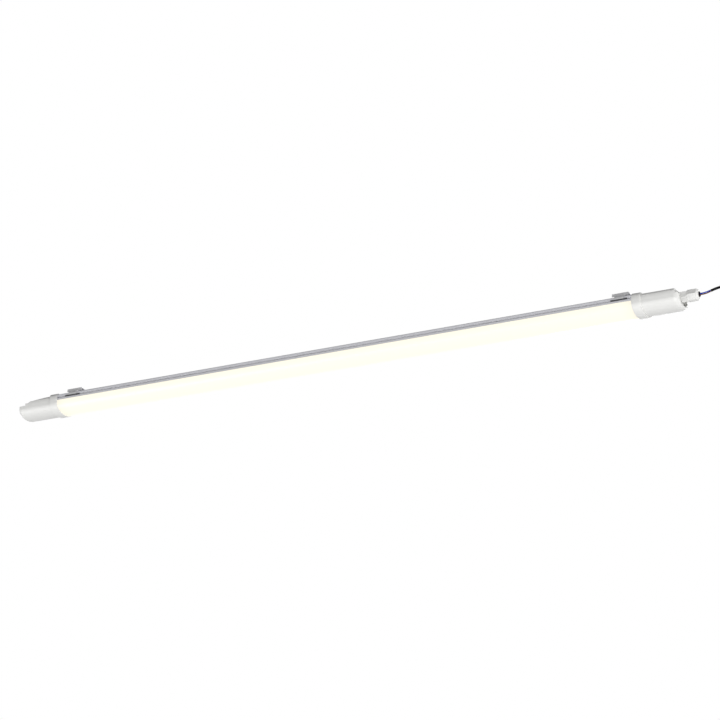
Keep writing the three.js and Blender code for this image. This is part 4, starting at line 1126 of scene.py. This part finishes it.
class LIGHT_OT_diffuser(bpy.types.Operator):
    """Draws the opal shell with a lip on each side that stands in the housing's slot"""

    bl_idname = "slim_light.diffuser"
    bl_label = "Diffuser"

    def execute(self, context):
        section = context.scene.light_section
        body = context.scene.light_body
        joint = section.shoulder_rise
        top = joint - section.fit
        side = side_width(joint)
        lip_outer = side - body.outer_leg - section.fit
        lip_inner = lip_outer - body.lip_wall
        lip_top = joint + body.lip_height
        foot = joint - body.lip_foot
        inner_side = foot - (side - body.wall - lip_inner)
        bm = bmesh.new()
        far_out, near_out = belly_arc(bm, 0)
        far_in, near_in = belly_arc(bm, -body.wall)
        for outer, inner, way in ((near_out, near_in, -1), (far_out, far_in, 1)):
            outline = [
                (side_width(top / 2), top / 2), (side_width(top), top), (lip_outer, top),
                (lip_outer, lip_top), (lip_inner, lip_top), (lip_inner, foot),
                (side_width(inner_side) - body.wall, inner_side),
            ]
            made = chain(bm, outer, [(0, way * y, rise - section.hang) for y, rise in outline])
            bm.edges.new((made[-1], inner))
        bmesh.ops.edgeloop_fill(bm, edges=bm.edges[:])
        end = high_corner("diffuser").x
        add_piece("diffuser_shell", along(bm, -end, end), "diffuser", ["diffuser"])
        return {"FINISHED"}


# The end caps.

def cap_places():
    """Places along the light: a collar's two faces, the pocket's floor and the light's end."""
    caps = bpy.context.scene.light_caps
    inner = low_corner("lead_end_cap").x
    end = -low_corner("blind_end_cap").x
    return inner, inner + caps.collar_length, inner + caps.pocket, end


def side_view(way, end, skirt_rise, steps):
    """Side view that a cap is cut to: its end, the skirt's corner, then its own steps."""
    section = bpy.context.scene.light_section
    caps = bpy.context.scene.light_caps
    start = low_corner("lead_end_cap").x - OVERRUN
    skirt_top = skirt_rise - section.hang
    below = -section.hang - section.belly_depth - 2 * caps.collar_proud
    corner = caps.skirt_corner
    angles = [90 * k / CORNER_STEPS for k in range(CORNER_STEPS + 1)]
    points = [
        (start, below), (end, below),
        *arc_points(end - corner, skirt_top - corner, corner, angles), *steps,
        (start, roof_height() + 2 * caps.collar_proud),
    ]
    return across([(way * x, z) for x, z in points])


def rounded_end(side, grow, drop, start, end):
    """A cap's outline drawn along X, and shrunk in a quarter round at its end."""
    caps = bpy.context.scene.light_caps
    length = getattr(caps, f"{side}_round")
    least = getattr(caps, f"{side}_end_scale")
    way = math.copysign(1, end - start)
    place = end - way * length
    bm = along(outline_face(grow, drop), start, place)
    face = max(bm.faces, key=lambda f: way * f.calc_center_median().x)
    about = Matrix.Translation((0, 0, bpy.context.scene.light_section.hang))
    size = 1.0
    for k in range(1, CORNER_STEPS + 2):
        angle = min(math.pi / 2 * k / CORNER_STEPS, math.pi / 2)
        next_size = 1 - (1 - least) * (1 - math.cos(angle))
        next_place = end - way * length * (1 - math.sin(angle))
        if k > CORNER_STEPS:
            next_place += way * OVERRUN
        grown = bmesh.ops.extrude_face_region(bm, geom=[face])["geom"]
        bmesh.ops.delete(bm, geom=[face], context="FACES_ONLY")
        corners = [g for g in grown if isinstance(g, bmesh.types.BMVert)]
        face = next(g for g in grown if isinstance(g, bmesh.types.BMFace))
        bmesh.ops.translate(bm, vec=(next_place - place, 0, 0), verts=corners)
        bmesh.ops.scale(bm, vec=(1, next_size / size, next_size / size), space=about, verts=corners)
        size, place = next_size, next_place
    bmesh.ops.recalc_face_normals(bm, faces=bm.faces[:])
    return bm


def collar(way):
    """The proud collar of a cap, with round edges."""
    caps = bpy.context.scene.light_caps
    inner, outer = cap_places()[:2]
    bm = along(outline_face(caps.collar_proud), way * inner, way * outer)
    for face in (inner, outer):
        soften_ends(bm, way * face, caps.collar_edge)
    return bm


def screw_holes(side):
    """Posts that cut the two screw holes in a collar's roof."""
    radius = bpy.context.scene.light_caps.screw_hole
    low = roof_height() - OVERRUN
    middles = [node_middle(f"{side}_cap_screw_{n}") for n in (1, 2)]
    return [post(radius, at.x, at.y, low, low + 4 * OVERRUN, HOLE_STEPS) for at in middles]


class LIGHT_OT_caps(bpy.types.Operator):
    """Moulds the two end caps: collar, body, ledges and open skirt"""

    bl_idname = "slim_light.caps"
    bl_label = "End caps"

    def execute(self, context):
        section, caps = context.scene.light_section, context.scene.light_caps
        self.lead_cap(section, caps, context.scene.light_gland)
        self.blind_cap(section, caps)
        return {"FINISHED"}

    def lead_cap(self, section, caps, gland):
        """The cap that carries the gland in its end wall."""
        inner, outer, pocket, light_end = cap_places()
        end = light_end - caps.lead_end_short
        wall_outer = light_end - caps.lead_roof_short
        wall_inner = wall_outer - caps.end_wall
        boss = wall_outer - gland.boss
        axis = node_middle("gland_nut").z
        roof = roof_height() + 2 * caps.collar_proud
        reach = 2 * section.half_width
        steps = [(wall_outer, caps.lead_skirt - section.hang), (wall_outer, roof)]
        body = kept_inside(
            rounded_end("lead", -caps.inset, caps.roof_drop, outer - OVERRUN, end),
            side_view(1, end, caps.lead_skirt, steps),
        )
        grow = -caps.inset - caps.wall
        cavity = cut(
            along(outline_face(grow, caps.roof_drop), pocket - OVERRUN, wall_inner),
            rod(gland.thread + gland.boss_wall, boss, wall_outer, axis),
        )
        trough = cut(
            rounded_end("lead", grow, caps.roof_drop, wall_inner - 2 * OVERRUN, end),
            block((inner, -reach, -section.hang - reach), (wall_outer, reach, roof)),
        )
        thread = rod(gland.thread + section.fit, boss - OVERRUN, wall_outer + OVERRUN, axis)
        self.mould("lead", 1, body, cavity, trough, thread)

    def blind_cap(self, section, caps):
        """The cap without a lead: its roof slopes to a ramp and a ledge."""
        _, outer, pocket, end = cap_places()
        roof_start = roof_height(caps.roof_drop) - caps.inset
        roof_low = roof_start - caps.blind_slope
        ledge = roof_low - caps.blind_ledge_drop
        roof_end = end - caps.blind_roof_short
        ledge_end = end - caps.blind_ledge_short
        steps = [
            (ledge_end, caps.blind_skirt - section.hang), (ledge_end, ledge),
            (roof_end + caps.blind_ramp, ledge), (roof_end, roof_low), (outer, roof_start),
            (outer, roof_height() + 2 * caps.collar_proud),
        ]
        body = kept_inside(
            rounded_end("blind", -caps.inset, caps.roof_drop, OVERRUN - outer, -end),
            side_view(-1, end, caps.blind_skirt, steps),
        )
        grow = -caps.inset - caps.wall
        drop = caps.roof_drop + caps.blind_slope
        reach = 2 * section.half_width
        cavity = cut(
            along(outline_face(grow, drop), OVERRUN - pocket, caps.end_wall - ledge_end),
            block((-end - OVERRUN, -reach, ledge - caps.wall),
                  (caps.wall - roof_end, reach, roof_height() + OVERRUN)),
        )
        trough = rounded_end("blind", grow, drop, -ledge_end, -end)
        self.mould("blind", -1, body, cavity, trough)

    def mould(self, side, way, body, *hollows):
        """Joins a cap's body to its collar, and takes its pocket, hollows and screw holes out."""
        scene = bpy.context.scene
        inner, _, pocket, _ = cap_places()
        start = way * (inner - OVERRUN)
        room = along(outline_face(scene.light_section.fit), start, way * pocket)
        shell = cut(joined(collar(way), body), room, *hollows, *screw_holes(side))
        add_piece(
            f"{side}_cap", shell, "cap", [f"{side}_end_cap"], edge=scene.light_caps.edge,
            look="cap_body",
        )


# The cap screws.

# Height of a head, radius of a shank, and depth and half the width of a slot.
SCREW_HEAD = 0.0014
SCREW_SHANK = 0.0014
SCREW_SLOT_DEPTH = 0.0006
SCREW_SLOT_HALF = 0.0004
# A shank's chamfered tip, as shares of its radius.
SCREW_TIP = ((0.7, 0), (1, 0.3))
# A pan head from its seat to its top, as shares of its radius and its height.
PAN_HEAD = ((1, 0), (1, 0.45), (0.93, 0.72), (0.75, 0.92), (0.45, 1), (0, 1))


class LIGHT_OT_cap_screws(bpy.types.Operator):
    """Turns the four pan-head screws in the collars' roofs"""

    bl_idname = "slim_light.cap_screws"
    bl_label = "Cap screws"

    def execute(self, context):
        for side in ("blind", "lead"):
            for n in (1, 2):
                self.screw(f"{side}_cap_screw_{n}")
        return {"FINISHED"}

    def screw(self, node):
        """A pan head with a crowned top and one slot, on a plain shank."""
        low, high, middle = low_corner(node), high_corner(node), node_middle(node)
        head = (high.x - low.x) / 2
        seat = high.z - SCREW_HEAD
        profile = [(SCREW_SHANK * out, low.z + SCREW_SHANK * up) for out, up in SCREW_TIP]
        profile.append((SCREW_SHANK, seat))
        profile += [(head * out, seat + SCREW_HEAD * up) for out, up in PAN_HEAD]
        bm = bmesh.new()
        first = bm.verts.new((middle.x, middle.y, low.z))
        chain(bm, first, [(middle.x + out, middle.y, z) for out, z in profile])
        spin_round(bm, middle, (0, 0, 1), SMALL_STEPS)
        slot = block(
            (middle.x - 2 * head, middle.y - SCREW_SLOT_HALF, high.z - SCREW_SLOT_DEPTH),
            (middle.x + 2 * head, middle.y + SCREW_SLOT_HALF, high.z + OVERRUN),
        )
        add_piece(f"{node}_turned", cut(bm, slot), "steel", [node], edge=SCREW_EDGE)


# The gland.

HEXAGON_CHAMFER = 0.0006
# Depth of the thread's ridges as a share of their pitch.
THREAD_SHARE = 0.35
# Points of the nut's dome as shares of its length: in from the corner and on from its start, then
# out from the flat face and back from its end.
DOME_SHOULDER = ((1 / 12, 1 / 8), (1 / 4, 1 / 3))
DOME_CROWN = ((0.56, 0.42), (1 / 3, 1 / 5), (1 / 8, 1 / 20), (0, 0))


class LIGHT_OT_gland(bpy.types.Operator):
    """Turns the cable gland: body, washer, domed nut and rubber seal"""

    bl_idname = "slim_light.gland"
    bl_label = "Cable gland"

    def execute(self, context):
        gland = context.scene.light_gland
        fit = context.scene.light_section.fit
        axis = node_middle("gland_nut").z
        for make in (self.body, self.nut, self.washer, self.seal):
            make(gland, fit, axis)
        return {"FINISHED"}

    def chamfered_hexagon(self, across_flats, turn, start, end, axis):
        """A hexagon whose corners are turned off at both ends."""
        bar = hexagon_bar(across_flats, turn, start, end, axis)
        face = corner_radius(across_flats) - HEXAGON_CHAMFER
        rim = corner_radius(across_flats) + HEXAGON_CHAMFER / 2
        limit = turned([
            (0, start), (face, start), (rim, start + HEXAGON_CHAMFER),
            (rim, end - HEXAGON_CHAMFER), (face, end), (0, end),
        ], axis)
        return kept_inside(bar, limit)

    def body(self, gland, fit, axis):
        """The fixed half: thread in the cap, hexagon, and the stub that the nut screws on."""
        start, end = node_ends("gland_body")
        washer_start, washer_end = node_ends("gland_washer")
        hexagon_start = washer_end + fit
        hexagon_end = end - gland.stub_length
        hexagon = self.chamfered_hexagon(
            gland.hexagon, gland.hexagon_turn, hexagon_start, hexagon_end, axis)
        pitch = gland.thread_pitch
        root = gland.thread - pitch * THREAD_SHARE
        ridges = [(0, start), (root, start)]
        place = start
        while place + pitch < washer_start:
            ridges += [(gland.thread, place + pitch / 2), (root, place + pitch)]
            place += pitch
        ridges += [(root, hexagon_start + OVERRUN), (0, hexagon_start + OVERRUN)]
        stub = rod(gland.stub, hexagon_end - OVERRUN, end, axis)
        whole = cut(
            joined(hexagon, turned(ridges, axis), stub),
            rod(gland.bore, start - OVERRUN, hexagon_end, axis),
            rod(gland.stub_bore, hexagon_end - OVERRUN, end + OVERRUN, axis),
        )
        add_piece("gland_fixed", whole, "cap", ["gland_body"], edge=GLAND_EDGE, look="gland")

    def nut(self, gland, fit, axis):
        """The loose half: a hexagon under a dome, with a mouth for the seal."""
        start, end = node_ends("gland_nut")
        corner = corner_radius(gland.nut)
        dome_start = end - gland.dome
        bar = hexagon_bar(gland.nut, gland.nut_turn, start, end, axis)
        rim = corner + fit
        dome = turned([
            (0, start), (corner - 2 * fit, start), (rim, start + 2 * fit), (rim, dome_start),
            *[(corner - gland.dome * a, dome_start + gland.dome * b) for a, b in DOME_SHOULDER],
            *[(gland.face + gland.dome * a, end - gland.dome * b) for a, b in DOME_CROWN],
            (0, end),
        ], axis)
        lip = end - gland.lip
        bore = turned([
            (0, start - OVERRUN), (gland.stub + fit, start - OVERRUN),
            (gland.stub + fit, start + gland.skirt), (gland.claw + 2 * fit, lip - 2 * fit),
            (gland.mouth, lip), (gland.mouth, end - 2 * fit),
            (gland.mouth + 2 * fit, end + OVERRUN), (0, end + OVERRUN),
        ], axis)
        add_piece(
            "gland_nut_domed", cut(kept_inside(bar, dome), bore), "cap", ["gland_nut"],
            body="gland_nut", edge=NUT_EDGE, look="gland",
        )

    def washer(self, gland, fit, axis):
        """A rubber ring with round edges behind the hexagon."""
        start, end = node_ends("gland_washer")
        radius = (high_corner("gland_washer").z - low_corner("gland_washer").z) / 2
        edge = (end - start) / 3
        ring = turned([
            (0, start), (radius - edge, start), (radius, start + edge), (radius, end - edge),
            (radius - edge, end), (0, end),
        ], axis)
        hole = rod(gland.thread + fit, start - OVERRUN, end + OVERRUN, axis)
        add_piece("gland_ring", cut(ring, hole), "rubber", ["gland_washer"], edge=GLAND_EDGE)

    def seal(self, gland, fit, axis):
        """The black rubber plug with a hole for each core, its nose in the nut's mouth."""
        lead = bpy.context.scene.light_lead
        start, end = node_ends("gland_seal")
        nose = high_corner("gland_nut").x - gland.lip - 3 * fit
        plug = turned([
            (0, start), (gland.seal, start), (gland.seal, nose), (gland.seal_nose, nose),
            (gland.seal_nose, end - fit), (gland.seal_nose - fit, end), (0, end),
        ], axis)
        hole = lead.core + fit / 2
        heights = [axis + side * lead.core_spread for side in (-1, 1)]
        holes = [rod(hole, start - OVERRUN, end + OVERRUN, z, HOLE_STEPS) for z in heights]
        add_piece("gland_plug", cut(plug, *holes), "rubber", ["gland_seal"], edge=GLAND_EDGE)


# The clips.

# Share of half a screw slot's width that its corners are rounded by, so that they don't meet.
SLOT_ROUND = 0.999


class LIGHT_OT_clips(bpy.types.Operator):
    """Bends the two steel saddles that hold the light under the cabinet"""

    bl_idname = "slim_light.clips"
    bl_label = "Clips"

    def execute(self, context):
        for node in ("blind_end_clip", "lead_end_clip"):
            self.saddle(context, node)
        return {"FINISHED"}

    def section(self, context):
        """Half of the saddle's section, from the base round the knee to the hook and back."""
        section = context.scene.light_section
        body = context.scene.light_body
        clips = context.scene.light_clips
        groove_rise = section.roof_rise - body.groove_drop - body.groove_height / 2
        groove = groove_rise - section.hang
        hook_tip = side_width(groove_rise) - body.groove_depth + section.fit
        knee_y = side_width(section.roof_rise - section.roof_corner) - section.roof_corner
        knee_z = roof_height() - section.roof_corner
        inner = section.roof_corner + section.fit
        outer = inner + clips.sheet
        web_in = clips.half_width - clips.sheet
        hook = clips.sheet / 2
        lip_low = groove - clips.lip / 2
        bend_y, bend_z = clips.half_width - clips.bend, -clips.bend
        half = [
            *arc_points(bend_y, bend_z, clips.bend, range(90, -1, -18)),
            (clips.half_width + clips.flare / 2, -clips.web / 2),
            (clips.half_width + clips.flare, -clips.web),
            *arc_points(knee_y, knee_z, outer, range(60, -1, -6)),
            (knee_y + outer, lip_low), (knee_y + inner, lip_low),
            (knee_y + inner, groove - hook), (hook_tip, groove - hook),
            (hook_tip, groove + hook), (knee_y + inner, groove + hook),
            *arc_points(knee_y, knee_z, inner, range(0, 76, 5)),
            (web_in + clips.flare, -clips.web - clips.sheet),
            (web_in + clips.flare / 2, -clips.web / 2),
            *arc_points(bend_y, bend_z, clips.bend - clips.sheet, range(0, 91, 30)),
        ]
        return mirrored_points(half), knee_z, knee_y + outer

    def saddle(self, context, node):
        """One saddle: its section drawn out, with the slot, the waist and the tongues cut."""
        clips = context.scene.light_clips
        low, high, middle = low_corner(node), high_corner(node), node_middle(node)
        points, knee_z, reach = self.section(context)
        whole = along(flat_face(points), low.x, high.x)
        half = (high.x - low.x) / 2
        web_in = clips.half_width - clips.sheet
        under, top = -clips.bend, -clips.web + clips.bend / 4
        slot = flat_face([
            (middle.x + a * clips.slot_length / 2, b * clips.slot_width / 2, under)
            for a, b in ((-1, -1), (1, -1), (1, 1), (-1, 1))
        ], clips.slot_width / 2 * SLOT_ROUND)
        cuts = [drawn(slot, (0, 0, 2 * clips.bend))]
        for end in (-1, 1):
            tip = middle.x + end * (half + OVERRUN)
            edge = middle.x + end * half
            neck = middle.x + end * (half - clips.waist)
            for side in (-1, 1):
                xs = sorted((middle.x + end * clips.tongue / 2, tip))
                ys = sorted((side * (web_in - OVERRUN), side * (reach + OVERRUN)))
                cuts.append(block((xs[0], ys[0], knee_z), (xs[1], ys[1], top)))
            waist = [
                (tip, -web_in), (edge, -web_in), (neck, -web_in / 3), (neck, web_in / 3),
                (edge, web_in), (tip, web_in),
            ]
            cuts.append(drawn(flat_face([(x, y, under) for x, y in waist]), (0, 0, 2 * clips.bend)))
        add_piece(
            f"{node}_saddle", cut(whole, *cuts), "steel", [node], body=node, edge=CLIP_EDGE,
            look="clip",
        )


# Everything that the closed light holds.

KEPT_NODES = {
    "tray": ("gear_tray",),
    "board": ("lamp_board_1", "lamp_board_2", "lamp_board_3", "lamp_board_4"),
    "driver": ("driver_case", "driver_lid"),
    "circuit": ("driver_board",),
    "steel": ("driver_screw_1", "driver_screw_2"),
    "terminal": ("terminal_block", "board_link_1", "board_link_2", "board_link_3"),
    "brass": ("terminal_contact_live", "terminal_contact_neutral"),
    "button": ("terminal_button_live", "terminal_button_neutral"),
    "rubber": ("blind_cap_gasket", "lead_cap_gasket"),
    "cap": ("gland_claw",),
}
# Degrees between a wire's faces that are made one, and between those whose edge stays sharp.
WIRE_FLAT = 1
WIRE_SHARP = 70
INNER_WIRES = {
    "driver_input_blue": "blue_wire",
    "driver_input_brown": "brown_wire",
    "driver_output_red": "red_wire",
    "driver_output_black": "black_wire",
}


class LIGHT_OT_inner_pieces(bpy.types.Operator):
    """Finishes the tray, the lamp boards, the driver, the terminal block and the wires inside"""

    bl_idname = "slim_light.inner_pieces"
    bl_label = "Inner pieces"

    def execute(self, context):
        for slot, nodes in KEPT_NODES.items():
            for node in nodes:
                self.finish_node(node, slot)
        for node, slot in INNER_WIRES.items():
            self.wire(node, slot)
        return {"FINISHED"}

    def finish_node(self, node, slot):
        """Gives a CAD node that stays its own finish."""
        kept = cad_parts[node]
        for place in kept.material_slots:
            place.material = finish(slot)

    def wire(self, node, slot):
        """A smooth wire made of a merged copy of the CAD node's mesh."""
        bm = bmesh.new()
        bm.from_mesh(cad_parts[node].data)
        bmesh.ops.remove_doubles(bm, verts=bm.verts[:], dist=MERGE_DISTANCE)
        bmesh.ops.dissolve_limit(
            bm, angle_limit=math.radians(WIRE_FLAT), verts=bm.verts[:], edges=bm.edges[:])
        bmesh.ops.recalc_face_normals(bm, faces=bm.faces[:])
        add_piece(f"{node}_wire", bm, slot, [node], sharp=WIRE_SHARP)


class LIGHT_PT_pieces(bpy.types.Panel):
    """Lists the groups of pieces and the sizes behind them"""

    bl_idname = "LIGHT_PT_pieces"
    bl_label = "Under-cabinet light"
    bl_space_type = "VIEW_3D"
    bl_region_type = "UI"
    bl_category = "Light"

    def draw(self, context):
        layout = self.layout
        for operator in OPERATORS:
            layout.operator(operator.bl_idname)
        for name in GROUPS:
            box = layout.box()
            group = getattr(context.scene, name)
            for key in group.__annotations__:
                box.prop(group, key)


OPERATORS = (
    LIGHT_OT_studio,
    LIGHT_OT_lead,
    LIGHT_OT_housing,
    LIGHT_OT_diffuser,
    LIGHT_OT_caps,
    LIGHT_OT_cap_screws,
    LIGHT_OT_gland,
    LIGHT_OT_clips,
    LIGHT_OT_inner_pieces,
)


def register():
    """Registers the sizes, the operators and the panel."""
    for name, group in GROUPS.items():
        bpy.utils.register_class(group)
        setattr(bpy.types.Scene, name, PointerProperty(type=group))
    for operator in OPERATORS:
        bpy.utils.register_class(operator)
    bpy.utils.register_class(LIGHT_PT_pieces)


def unregister():
    """Takes away what register added."""
    bpy.utils.unregister_class(LIGHT_PT_pieces)
    for operator in reversed(OPERATORS):
        bpy.utils.unregister_class(operator)
    for name, group in reversed(GROUPS.items()):
        delattr(bpy.types.Scene, name)
        bpy.utils.unregister_class(group)


def main():
    """Builds every group of pieces."""
    register()
    bpy.ops.slim_light.studio()
    bpy.ops.slim_light.lead()
    bpy.ops.slim_light.housing()
    bpy.ops.slim_light.diffuser()
    bpy.ops.slim_light.caps()
    bpy.ops.slim_light.cap_screws()
    bpy.ops.slim_light.gland()
    bpy.ops.slim_light.clips()
    bpy.ops.slim_light.inner_pieces()


if __name__ == "__main__":
    main()
